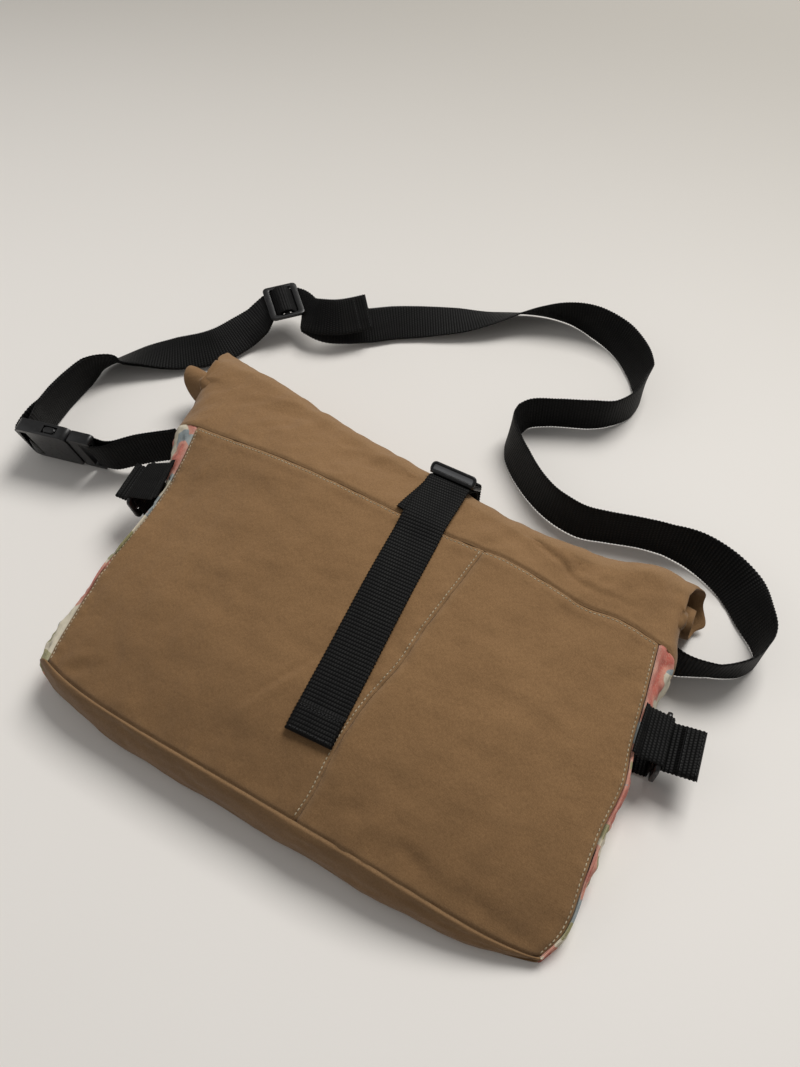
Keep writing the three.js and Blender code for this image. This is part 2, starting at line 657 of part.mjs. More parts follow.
for (let k = 0; k <= fallSteps; k += 1) {
  const share = k / fallSteps;
  const y = lerp(risingEnd, crestY() - CLOSURE_LENGTH, share);
  const over = clamp((y - BODY_HEIGHT + 12) / 12, 0, 1) * layerStep;
  falling.push(onSkin(lerp(lockX, END_SHIFT, share), y, SKIN_SLACK + over, -1));
}
function crestY() {
  return rollAt(acrossAt(lockX)).y;
}
add("closure_strap", webbing([...rising, ...planeStations(lockPath, lock), ...falling]), black);

// The webbing that holds the ladder-lock: from the back panel's top edge under the roll, up its
// far side, round the ladder-lock's rear bar and back over itself.
const inLock = (p) => ({
  a: p.clone().sub(lock.origin).dot(lock.along),
  b: p.clone().sub(lock.origin).dot(lock.off),
  turn: 0,
});
const farSide = [];
for (let k = 0; k <= 6; k += 1) farSide.push(lerp(LOCK_TURN + 0.13, 0.5, k / 6));
const overlap = farSide.slice(0, 3)
  .map((turn) => inLock(onRoll(lockX, turn, lift + SKIN_SLACK + layerStep)));
const hold = [
  ...overlap.reverse(),
  { a: lockBars.rear[1], b: barHalf, turn: 1, lift },
  { a: lockBars.rear[0], b: barHalf, turn: 1, lift },
  { a: lockBars.rear[0], b: -barHalf, turn: 1, lift },
  { a: lockBars.rear[1], b: -barHalf, turn: 1, lift },
  ...farSide.slice(0, -1).map((turn) => inLock(onRoll(lockX, turn, lift + SKIN_SLACK))),
];
const anchor = planeStations(tautLine(hold), lock);
const level = vec(lock.across.x, lock.across.y, 0).normalize();
for (const s of anchor) {
  const share = clamp(s.c.z / (lock.origin.z * 0.6), 0, 1);
  s.w = level.clone().lerp(lock.across, share).normalize();
}
const backEdge = BODY_HEIGHT - BACK_SHORT;
const lowest = lift + CLEARANCE * 0.5;
for (const y of [crestY() + 5, crestY() - 8, backEdge + 14, backEdge + 2]) {
  anchor.push(station(vec(lockX, y, lowest), level, vec(0, -1, 0)));
}
add("closure_anchor", webbing(anchor), black);

// Outward face of a side gusset at a height, in the width direction of the bag.
function gussetFace(name, y, z) {
  const sign = name === "left" ? -1 : 1;
  const up = clamp(y / BODY_HEIGHT, 0, 1);
  const [front, back] = [frontPoint(sign, up), backPoint(sign, up)];
  const [middle, half] = [(front.z + back.z) / 2, (front.z - back.z) / 2];
  const round = Math.sqrt(Math.max(1 - ((z - middle) / half) ** 2, 0));
  return front.x + sign * side(`${name}Bulge`, up) * round;
}

// Side straps: one on each gusset, at a share of the bag's height. The slider hangs on webbing from
// the front seam, and the strap comes from the back seam through it and ends in a free tail.
const SIDE_STRAPS = [
  { name: "right", sign: 1, up: 0.73, tail: 1 },
  { name: "left", sign: -1, up: 0.81, tail: 0.6 },
];
for (const { name, sign, up, tail } of SIDE_STRAPS) {
  const front = frontPoint(sign, up);
  const slope = frontPoint(sign, up + 0.08).sub(frontPoint(sign, up - 0.08));
  const middle = front.z / 2;
  const leaning = (share) => vec(slope.x, slope.y, slope.z * share).normalize();
  const across = leaning(0.5);
  const along = vec(across.y, -across.x, 0).normalize().multiplyScalar(sign);
  const off = across.clone().cross(along).multiplyScalar(-sign);
  const origin = vec(front.x, front.y, 0);
  const bulge = side(`${name}Bulge`, up);
  const bar = bulge + SIDE_STAND;
  const hanger = {
    origin: origin.clone().addScaledVector(along, bar).addScaledVector(off, middle),
    across,
    along: off,
    off: across.clone().cross(off),
  };
  const plate = roundedPlate(-wide, wide, -lockHalf, lockHalf, 2, -barHalf, barHalf)
    .subtract(slotBetween(lockBars.front[1], lockBars.middle[0]))
    .subtract(slotBetween(lockBars.middle[1], lockBars.rear[0]));
  add(`side_slider_${name}`, placed(plate, hanger), plastic);
  // Level at the table, as steep as the seam at the seam, and between them beside the slider.
  const laid = (line) => {
    const stations = planeStations(line, { origin, across, along, off });
    return stations.map((s, i) => {
      const over = clamp((line[i].b - middle - lockHalf - lift) / 4, 0, 1);
      const under = clamp((middle - lockHalf - line[i].b) / (middle - lockHalf), 0, 1);
      return station(s.c, leaning(0.5 + 0.5 * over - 0.5 * under), s.ahead);
    });
  };
  const [topLow, topHigh] = lockBars.rear.map((v) => middle + v);
  const offGusset = (angle, gap) => ({
    a: (bulge + gap) * Math.sin(angle),
    b: middle + (middle + gap) * Math.cos(angle),
    turn: 0,
  });
  const hung = tautLine([
    ...[0.1, 0.4, 0.7].map((angle) => offGusset(angle, lift + SIDE_SLACK)),
    { a: bar + barHalf, b: topHigh, turn: -1, lift },
    { a: bar + barHalf, b: topLow, turn: -1, lift },
    { a: bar - barHalf, b: topLow, turn: -1, lift },
    { a: bar - barHalf - lift, b: topHigh - lift, turn: 0 },
  ]);
  add(`side_anchor_${name}`, webbing(laid(hung)), black);
  const slotMiddle = middle + (lockBars.middle[1] + lockBars.rear[0]) / 2;
  const tuck = Math.acos(1 - (2 * lift + SIDE_SLACK) / middle);
  const drawn = tautLine([
    { a: offGusset(Math.PI - tuck, 0).a + SIDE_SLACK, b: lift, turn: 0 },
    { a: bar - barHalf - 2 * lift, b: 2 * lift, turn: 1, lift },
    { a: bar - barHalf, b: middle + SLIDER_BAR / 2, turn: -1, lift },
    { a: bar + 4, b: slotMiddle, turn: 0 },
    { a: bar + 4 + SIDE_TAIL * tail, b: slotMiddle + 2, turn: 0 },
  ]);
  add(`side_strap_${name}`, webbing(laid(drawn)), black);
}

// A place of the strap's route moves out with the side of the bag that it lies beside.
const outward = (x) =>
  x + ((BODY_WIDTH - ROUTE_WIDTH) / 2) * clamp(x / (ROUTE_WIDTH / 2), -1, 1);

// The side-release buckle stands on its lower edge beside the bag, its top leaning over the strap.
const BUCKLE_PLACE = { x: -300, y: 149, z: 20, turn: 11, lean: 12 };
const buckleAlong = vec(Math.cos(radians(BUCKLE_PLACE.turn)), Math.sin(radians(BUCKLE_PLACE.turn)), 0);
const buckleAcross = vec(buckleAlong.y, -buckleAlong.x, 0)
  .multiplyScalar(Math.sin(radians(BUCKLE_PLACE.lean)))
  .addScaledVector(UP, Math.cos(radians(BUCKLE_PLACE.lean)));
const bucklePlace = vec(outward(BUCKLE_PLACE.x), BUCKLE_PLACE.y, BUCKLE_PLACE.z);
const buckle = frameOf(bucklePlace, buckleAcross, buckleAlong);
const buckleHalf = BUCKLE_LENGTH / 2;
const deep = BUCKLE_DEPTH / 2;
const barDeep = BUCKLE_BAR / 2;
const loopSlot = [buckleHalf - BUCKLE_BAR - BUCKLE_SLOT, buckleHalf - BUCKLE_BAR];
const baseFrom = BUCKLE_SPLIT + CLEARANCE;
const slab = (x0, x1, y0, y1, z) => box([x0, y0, -z], [x1, y1, z]);
const femaleShape = roundedPlate(-wide, wide, -buckleHalf, BUCKLE_SPLIT, 5, -deep, deep)
  .subtract(slab(-slotHalf, slotHalf, -loopSlot[1], -loopSlot[0], 2 * deep))
  .subtract(box([-slotHalf, -buckleHalf - 1, barDeep], [slotHalf, -loopSlot[1] + 0.5, 2 * deep]))
  .subtract(box([-slotHalf, -buckleHalf - 1, -2 * deep], [slotHalf, -loopSlot[1] + 0.5, -barDeep]))
  .subtract(slab(-POCKET_HALF, POCKET_HALF, -POCKET_LENGTH + BUCKLE_SPLIT, 2 * BUCKLE_SPLIT, POCKET_DEEP))
  .subtract(slab(-2 * wide, 2 * wide, ...BUTTON_WINDOW, POCKET_DEEP));
add("buckle_female", placed(femaleShape, buckle), plastic);
const armOut = POCKET_HALF - 0.5;
const armEnd = BUTTON_WINDOW[0] + 1;
const armDeep = POCKET_DEEP - 0.5;
const maleShape = roundedPlate(-wide, wide, baseFrom, buckleHalf, 3, -MALE_DEEP, MALE_DEEP)
  .subtract(slab(-slotHalf, slotHalf, ...loopSlot, 2 * deep))
  .subtract(box([-slotHalf, loopSlot[1] - 0.5, barDeep], [slotHalf, buckleHalf + 1, 2 * deep]))
  .subtract(box([-slotHalf, loopSlot[1] - 0.5, -2 * deep], [slotHalf, buckleHalf + 1, -barDeep]))
  .add(slab(-2.5, 2.5, BUCKLE_SPLIT - 14, baseFrom + 1, armDeep))
  .add(slab(armOut - 4, armOut, armEnd, baseFrom + 1, armDeep))
  .add(slab(-armOut, 4 - armOut, armEnd, baseFrom + 1, armDeep))
  .add(slab(armOut - 1, wide - 1, armEnd, BUTTON_WINDOW[1] - 1, armDeep))
  .add(slab(1 - wide, 1 - armOut, armEnd, BUTTON_WINDOW[1] - 1, armDeep));
add("buckle_male", placed(maleShape, buckle), plastic);

// Doubled webbing: out along one side of the stations, round the bar at their end, and back along
// the other side. Its layers part toward the bar.
const barReach = Math.SQRT2 * barDeep + lift;
function doubled(stations, partFrom) {
  const last = stations.length - 1;
  const offset = (i) => lerp(layerStep / 2, barReach, clamp((i - last) / partFrom + 1, 0, 1));
  const shifted = (sign) =>
    stations.map((s, i) => station(s.c.clone().addScaledVector(s.n, sign * offset(i)), s.w, s.ahead));
  const end = stations[last];
  const round = [];
  for (let angle = BEND_STEP; angle < Math.PI - 0.01; angle += BEND_STEP) {
    const c = end.c.clone().addScaledVector(end.n, barReach * Math.cos(angle));
    c.addScaledVector(end.ahead, barReach * Math.sin(angle));
    const ahead = end.ahead.clone().multiplyScalar(Math.cos(angle)).addScaledVector(end.n, -Math.sin(angle));
    round.push(station(c, end.w, ahead));
  }
  return { out: shifted(1), round, back: turnedBack(shifted(-1)) };
}

// Moves the two corners of an end along the webbing until they stand just off a gusset.
function cutTo(name, s, slack) {
  const facing = name === "left" ? -1 : 1;
  const corners = [-1, 1].map((sign) => {
    const p = s.c.clone().addScaledVector(s.w, (sign * WEB_WIDTH) / 2);
    for (let k = 0; k < 40; k += 1) {
      const room = facing * (p.x - gussetFace(name, Math.min(p.y, BODY_HEIGHT), p.z)) - slack;
      const step = clamp(room, -1, 1) * 0.5;
      p.addScaledVector(s.ahead, -facing * Math.sign(s.ahead.x) * step);
    }
    const square = s.c.clone().addScaledVector(s.w, (sign * WEB_WIDTH) / 2);
    return p.distanceTo(s.c) < WEB_WIDTH * 0.62 ? p : square;
  });
  return { ...s, corners };
}

const onBar = (along) => buckle.origin.clone().addScaledVector(buckle.along, along);
const row = (p, lean) => ({ x: p.x, y: p.y, z: p.z, lean });

// The short strap from the buckle's male half to the head of the left gusset
const maleBar = onBar(buckleHalf - barDeep);
const shortRows = [
  { x: outward(-214), y: 187, z: 26, lean: 90 },
  { x: outward(-238), y: 172, z: 23, lean: 90 },
  row(maleBar.clone().addScaledVector(buckle.along, 12), 90),
  row(maleBar, 90),
];
const shortLine = stationsOf(shortRows);
shortLine[shortLine.length - 1] = station(maleBar, buckle.across, buckle.along.clone().negate());
const shortLoop = doubled(shortLine, 3);
const shortEnds = [...shortLoop.out, ...shortLoop.round, ...shortLoop.back];
shortEnds[0] = cutTo("left", shortEnds[0], 4 * SIDE_SLACK);
shortEnds[shortEnds.length - 1] = cutTo("left", shortEnds[shortEnds.length - 1], 4 * SIDE_SLACK);
add("buckle_strap", webbing(shortEnds), black);

// The shoulder strap's middle line from the right gusset to its slider. Where it stands on its
// edge, its height follows from its lean.
const STRAP_ROWS = [
  [179.5, 188, 95], [183, 190.5, 98], [194.5, 194.5, 104], [202, 198.5, 100], [211, 206, 94],
  [217, 219, 90], [215.5, 231, 104], [206, 246.5, 122], [194.5, 263, 139], [178.5, 272.5, 129],
  [158, 278, 114], [139, 277.5, 98], [121.5, 275, 96], [98.5, 269, 98], [81.5, 265.5, 102],
  [67, 267.5, 104], [54.5, 271.5, 104], [39, 280.5, 107], [20.5, 296, 112], [7.5, 310, 110],
  [-1.5, 327.5, 96], [1, 337.5, 80], [5.5, 347, 86], [22, 356.5, 90], [48.5, 367.5, 88],
  [62.5, 376, 95], [72.5, 392, 90], [74, 412.5, 90], [69.5, 427, 115], [58, 446, 122],
  [37.5, 465, 120], [12, 474.5, 103], [-11.5, 476.5, 76], [-34.5, 472, 55], [-56, 462, 37, 10.8],
  [-78, 445, 15, 10], [-98, 431, -7, 10.5], [-128, 413, -27, 11], [-148, 400, -36, 12],
  [-166, 384, -42, 14], [-194, 365, -46, 18], [-212, 366, -38, 18.5],
  [-225, 372, -20, 23],
];
const LOOP_ROWS = [
  [-253, 342, -16, 18], [-260, 328, -34, 13.5], [-271, 302, -42, 12.5], [-295, 281, -24, 12],
  [-321, 265, 9, 11],
  [-338, 250, 35, 10.8], [-343, 237, 62, 15], [-346, 223, 84, 16.4], [-347, 204, 90], [-345, 186, 93],
  [-339, 168, 92, 18],
];
const TAIL_ROWS = [
  [-213, 364, -38, 24.5], [-200.9, 362, -44, 27.5], [-185, 367.5, -46, 28],
  [-175, 376, -46, 27.5], [-164, 386.5, -46, 28],
];
function readRow([x, y, lean, z], thick = WEB_THICK) {
  const [rise, run] = [Math.abs(Math.sin(radians(lean))), Math.abs(Math.cos(radians(lean)))];
  return { x: outward(x), y, z: z ?? (WEB_WIDTH / 2) * rise + (thick / 2) * run + 2 * CLEARANCE, lean };
}
const sliderPlace = vec(outward(-239), 365, 28);
const sliderAlong = vec(-0.682, -0.731, 0).normalize();
const sliderLean = radians(-10);
const sliderAcross = UP.clone().cross(sliderAlong).multiplyScalar(Math.cos(sliderLean))
  .addScaledVector(UP, Math.sin(sliderLean));
const slider = frameOf(sliderPlace, sliderAcross, sliderAlong);
const sliderHalf = SLIDER_LENGTH / 2;
const sliderSlot = [SLIDER_BAR / 2, sliderHalf - SLIDER_BAR];
const sliderShape = roundedPlate(-wide, wide, -sliderHalf, sliderHalf, 3, -barHalf, barHalf)
  .subtract(slotBetween(-sliderSlot[1], -sliderSlot[0]))
  .subtract(slotBetween(...sliderSlot));
add("strap_slider", placed(sliderShape, slider), plastic);

// Through the slider behind its side bars and over its middle bar: the inner layer lies on the
// middle bar and the outer layer on the side bars.
const crossing = (onSides, onMiddle) =>
  planeStations(
    tautLine([
      { a: -sliderHalf, b: barHalf, turn: -1, lift: onSides },
      { a: -sliderSlot[1], b: barHalf, turn: -1, lift: onSides },
      { a: -sliderSlot[0], b: -barHalf, turn: 1, lift: onMiddle },
      { a: sliderSlot[0], b: -barHalf, turn: 1, lift: onMiddle },
      { a: sliderSlot[1], b: barHalf, turn: -1, lift: onSides },
      { a: sliderHalf, b: barHalf, turn: -1, lift: onSides },
    ]),
    slider,
  );
const mainCrossing = crossing(lift + layerStep, lift);
const tailCrossing = crossing(lift, lift + layerStep);
const behind = barHalf + lift + layerStep / 2;
const doorOut = slider.origin.clone().addScaledVector(slider.along, sliderHalf + 2)
  .addScaledVector(slider.off, behind);
const femaleBar = onBar(barDeep - buckleHalf);
const loopRows = [
  row(doorOut, -14),
  ...LOOP_ROWS.map((r) => readRow(r, WEB_THICK + layerStep)),
  row(femaleBar.clone().addScaledVector(buckle.off, 12), 90),
  row(femaleBar, 90),
];
const loopLine = stationsOf(loopRows);
loopLine[loopLine.length - 1] = station(femaleBar, buckle.across, buckle.off.clone().negate());
const loop = doubled(loopLine, 3);
const arriving = stationsOf(STRAP_ROWS.map((r) => readRow(r)));
arriving[0] = cutTo("right", arriving[0], 2 * SIDE_SLACK);
const tailLine = stationsOf([
  row(tailCrossing[0].c.clone().addScaledVector(slider.along, -2), -14),
  ...TAIL_ROWS.map((r) => readRow(r)),
].reverse());
const shoulder = [
  ...arriving,
  ...mainCrossing,
  ...loop.out,
  ...loop.round,
  ...loop.back,
  ...turnedBack(tailCrossing),
  ...turnedBack(tailLine),
];
add("shoulder_strap", webbing(shoulder), black);

export default parts;
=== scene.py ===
"""Roll-top messenger bag lying on its back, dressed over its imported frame.

Shapes are worked out in millimetres, with X across the bag, Y from its base seam to its rolled top
and the table at Z = 0. They go into the meshes in metres, in the row's frame.
"""
import logging
import math
from collections.abc import Callable
from dataclasses import dataclass, field
from enum import Enum

import bmesh
import bpy
import numpy as np
from mathutils import Matrix


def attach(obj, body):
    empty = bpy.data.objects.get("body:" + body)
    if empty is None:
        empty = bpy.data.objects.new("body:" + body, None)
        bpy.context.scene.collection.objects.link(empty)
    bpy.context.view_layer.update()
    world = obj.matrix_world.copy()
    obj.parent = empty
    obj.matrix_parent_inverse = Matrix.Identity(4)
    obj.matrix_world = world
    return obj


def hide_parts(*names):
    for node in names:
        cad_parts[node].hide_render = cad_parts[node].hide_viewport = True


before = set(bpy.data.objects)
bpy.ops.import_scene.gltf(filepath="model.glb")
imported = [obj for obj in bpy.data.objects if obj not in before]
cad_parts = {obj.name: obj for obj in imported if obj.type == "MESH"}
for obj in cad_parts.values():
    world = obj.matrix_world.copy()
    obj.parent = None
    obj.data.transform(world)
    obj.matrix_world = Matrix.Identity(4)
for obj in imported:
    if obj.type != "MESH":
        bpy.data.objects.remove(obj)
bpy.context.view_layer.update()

LOG = logging.getLogger("bag")
Array = np.ndarray
Rows = tuple[tuple[float, ...], ...]
Material, Link = bpy.types.Material, bpy.types.NodeSocket
MM = 0.001
BASE_TO_ORIGIN = 90.0  # the row's origin lies this far up the bag from its base seam
UP = np.array([0.0, 0.0, 1.0])


# Numbers and curves


def to_frame(points: Array) -> Array:
    """Millimetres from the base seam to metres in the row's frame."""
    return (np.asarray(points, float) - (0.0, BASE_TO_ORIGIN, 0.0)) * MM


def unit(vectors: Array) -> Array:
    """Each vector divided by its length."""
    return vectors / np.maximum(np.linalg.norm(vectors, axis=-1, keepdims=True), 1e-9)


def between(low: Array | float, high: Array | float, share: Array | float) -> Array | float:
    """The value at a share of the way from low to high."""
    return low + (high - low) * share


def eased(share: Array | float) -> Array:
    """Share from 0 to 1 that starts and ends level: 3 s squared minus 2 s cubed."""
    share = np.clip(share, 0.0, 1.0)
    return share * share * (3.0 - 2.0 * share)


def hump(distance: Array, width: float) -> Array:
    """Bell of height 1: e to the minus squared distance over width."""
    return np.exp(-((distance / width) ** 2))


def ripples(u: Array, v: Array, grain: float, seed: int, waves: int = 14) -> Array:
    """Gentle unevenness of about one unit.

    A sum of sine waves over the plane, with seeded directions and phases and with lengths from
    0.6 to 1.6 times the grain.

    Args:
        u, v: places in millimetres.
        grain: middle wavelength in millimetres.
        seed: seed of the directions and phases.
        waves: number of waves.

    Returns:
        One value for each place.
    """
    rng = np.random.default_rng(seed)
    total = np.zeros(np.broadcast(u, v).shape)
    for heading, stretch, phase in rng.uniform((0, 0.6, 0), (math.pi, 1.6, 2 * math.pi), (waves, 3)):
        pace = 2 * math.pi / (grain * stretch)
        total += np.sin(pace * (u * math.cos(heading) + v * math.sin(heading)) + phase)
    return total / math.sqrt(waves / 2)


def smooth_between(keys: Array, values: Array, place: Array) -> Array:
    """Smooth curve through values at keys: a cubic from key to key, its slopes from their neighbours.

    Args:
        keys: rising places of the values.
        values: one value for each key, or one array of place's shape for each key.
        place: where the curve is read, held within the keys.

    Returns:
        The curve's value at each place.
    """
    keys, place = np.asarray(keys, float), np.asarray(place, float)
    values = np.asarray(values, float)
    if values.ndim == 1:
        values = np.broadcast_to(values.reshape(-1, *[1] * place.ndim), (len(keys), *place.shape))
    i = np.clip(np.searchsorted(keys, place) - 1, 0, len(keys) - 2)
    before, after = np.maximum(i - 1, 0), np.minimum(i + 2, len(keys) - 1)

    def row(k: Array) -> Array:
        """The value whose number is k, at each place."""
        return np.take_along_axis(values, k[None], 0)[0]

    span = keys[i + 1] - keys[i]
    s = np.clip((place - keys[i]) / span, 0.0, 1.0)
    low, high = row(i), row(i + 1)
    slope_in = (high - row(before)) / (keys[i + 1] - keys[before]) * span
    slope_out = (row(after) - low) / (keys[after] - keys[i]) * span
    return cubic(s, low, slope_in, high, slope_out)


def column(rows: Rows, index: int, place: Array) -> Array:
    """One column of a table, on a smooth curve over the table's first column."""
    table = np.array(rows)
    return smooth_between(table[:, 0], table[:, index], place)


def crowded(count: int, crowd: float = 0.65) -> Array:
    """Shares from 0 to 1 that lie closer together near both ends, by crowd of a cosine's spacing."""
    even = np.linspace(0.0, 1.0, count)
    return between(even, 0.5 - 0.5 * np.cos(math.pi * even), crowd)


def cubic(s: Array, low: Array, slope_in: Array, high: Array, slope_out: Array) -> Array:
    """The cubic from low to high at a share s from 0 to 1, with the two slopes at its ends."""
    return (low * (2 * s**3 - 3 * s**2 + 1) + slope_in * (s**3 - 2 * s**2 + s)
            + high * (3 * s**2 - 2 * s**3) + slope_out * (s**3 - s**2))


def distances(line: Array) -> Array:
    """Distance of each point of a line from its start, along the line."""
    return np.concatenate([[0], np.cumsum(np.linalg.norm(np.diff(line, axis=0), axis=-1))])


# Meshes


def facing(grid: Array, closed: bool = False) -> Array:
    """Unit normals of a grid: the way along its columns crossed with the way along its rows."""
    along_rows = np.gradient(grid, axis=0)
    along = (np.roll(grid, -1, 1) - np.roll(grid, 1, 1)) if closed else np.gradient(grid, axis=1)
    return unit(np.cross(along, along_rows))


class Skin:
    """Grids of points gathered into one mesh, each with a map of its cloth in metres."""

    def __init__(self) -> None:
        """Starts with no points."""
        self.points: list[Array] = []
        self.wear_and_painted_light: list[Array] = []
        self.faces: list[Array] = []
        self.maps: list[Array] = []
        self.count = 0

    def join(self, numbers: Array, cloth: Array) -> None:
        """Joins the points numbered in a grid with four-sided faces.

        Args:
            numbers: vertex numbers, rows by columns.
            cloth: the cloth's two coordinates in millimetres at each of them.
        """
        def corners(grid: Array) -> Array:
            """The four corners of each face, in turn."""
            around = [grid[:-1, :-1], grid[:-1, 1:], grid[1:, 1:], grid[1:, :-1]]
            return np.stack(around, 2).reshape(-1, 4, *grid.shape[2:])

        self.faces.append(corners(numbers))
        self.maps.append(corners(cloth))

    def add(self, grid: Array, cloth: Array | None = None, closed: bool = False,
            looped: bool = False, wear_and_painted_light: Array | float = 0.0) -> Array:
        """Adds a grid of points, facing out along its columns crossed with its rows.

        Args:
            grid: points in millimetres, rows by columns.
            cloth: the cloth's coordinates at each point, with one column more where closed.
            closed: whether the last column joins the first.
            looped: whether the last row joins the first.
            wear_and_painted_light: how rubbed the cloth is at each point, from 0 to 1; on plastic, the
                faces that take a painted reflection.

        Returns:
            The points' numbers, rows by columns.
        """
        rows, columns = grid.shape[:2]
        numbers = self.count + np.arange(rows * columns).reshape(rows, columns)
        self.points.append(grid.reshape(-1, 3))
        self.wear_and_painted_light.append(np.broadcast_to(wear_and_painted_light, (rows, columns)).reshape(-1))
        self.count += rows * columns
        shown = np.concatenate([numbers, numbers[:, :1]], 1) if closed else numbers
        shown = np.concatenate([shown, shown[:1]], 0) if looped else shown
        if cloth is None:
            steps = np.meshgrid(np.arange(shown.shape[1]), np.arange(shown.shape[0]))
            cloth = np.stack(steps, -1) * 1.0
        self.join(shown, cloth)
        return numbers

    def add_wall(self, outer: Array, cloth: Array, wall: float, wear_and_painted_light: Array | float = 0.0) -> None:
        """Adds cloth of one thickness: a grid, the same grid moved in along its normals, and the rim.

        Args:
            outer: points of the outer face, rows by columns.
            cloth: the cloth's coordinates at each of them.
            wall: thickness of the cloth.
            wear_and_painted_light: how rubbed it is at each point.
        """
        inner = outer - facing(outer) * wall
        inner[..., 2] = np.maximum(inner[..., 2], 0.1)
        top = self.add(outer, cloth, wear_and_painted_light=wear_and_painted_light)
        under = self.add(inner[:, ::-1], cloth[:, ::-1])[:, ::-1]
        for first, second, line in (
            (under[0], top[0], cloth[0]), (top[-1], under[-1], cloth[-1]),
            (top[:, 0], under[:, 0], cloth[:, 0]), (under[:, -1], top[:, -1], cloth[:, -1]),
        ):
            self.join(np.stack([first, second]), np.stack([line, line]))

    def cap(self, ring: Array, outward: bool, line: Array | None = None) -> None:
        """Closes a ring of points with a strip between its two halves.

        Args:
            ring: vertex numbers round it, even in number and split where the strip starts.
            outward: whether the strip faces the way that the rows run.
            line: the cloth's coordinates round it.
        """
        half = len(ring) // 2
        pair = np.stack([ring[:half], ring[::-1][:half]])
        line = np.zeros((len(ring), 2)) if line is None else line
        cloth = np.stack([line[:half], line[::-1][:half]])
        self.join(pair if outward else pair[::-1], cloth if outward else cloth[::-1])

    def build(self, name: str) -> bpy.types.Object:
        """Makes the mesh and its object at the origin, with the cloth's map and its wear.

        Args:
            name: the piece's name.

        Returns:
            The object, in the scene.
        """
        mesh = bpy.data.meshes.new(name)
        faces = np.concatenate(self.faces)
        mesh.from_pydata(to_frame(np.concatenate(self.points)), [], faces.tolist(), shade_flat=False)
        layer = mesh.uv_layers.new(name="cloth")
        layer.uv.foreach_set("vector", (np.concatenate(self.maps) * MM).astype(np.float32).ravel())
        wear = mesh.attributes.new("wear_and_painted_light", "FLOAT", "POINT")
        wear.data.foreach_set("value", np.concatenate(self.wear_and_painted_light).astype(np.float32))
        mesh.update()
        item = bpy.data.objects.new(name, mesh)
        bpy.context.scene.collection.objects.link(item)
        return item


class Slot(Enum):
    """The record's material slots."""

    CANVAS = "brown_canvas"
    PRINT = "floral_print"
    WEBBING = "black_webbing"
    PLASTIC = "black_plastic"


def finished(item: bpy.types.Object, material: Material, slot: Slot, *nodes: str) -> None:
    """Gives a piece its material, lets it ride, and puts it in the place of its nodes.

    Args:
        item: the piece.
        material: its finish.
        slot: the record's slot for it; not used.
        nodes: the CAD nodes that it stands for.
    """
    item.data.materials.clear()
    item.data.materials.append(material)
    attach(item, "root")
    if nodes:
        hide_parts(*nodes)
    faces = len(item.data.polygons)
    LOG.info("%s: %d faces, in place of %s", item.name, faces, ", ".join(nodes) or "nothing")


# Finishes


Socket = Link | float | tuple


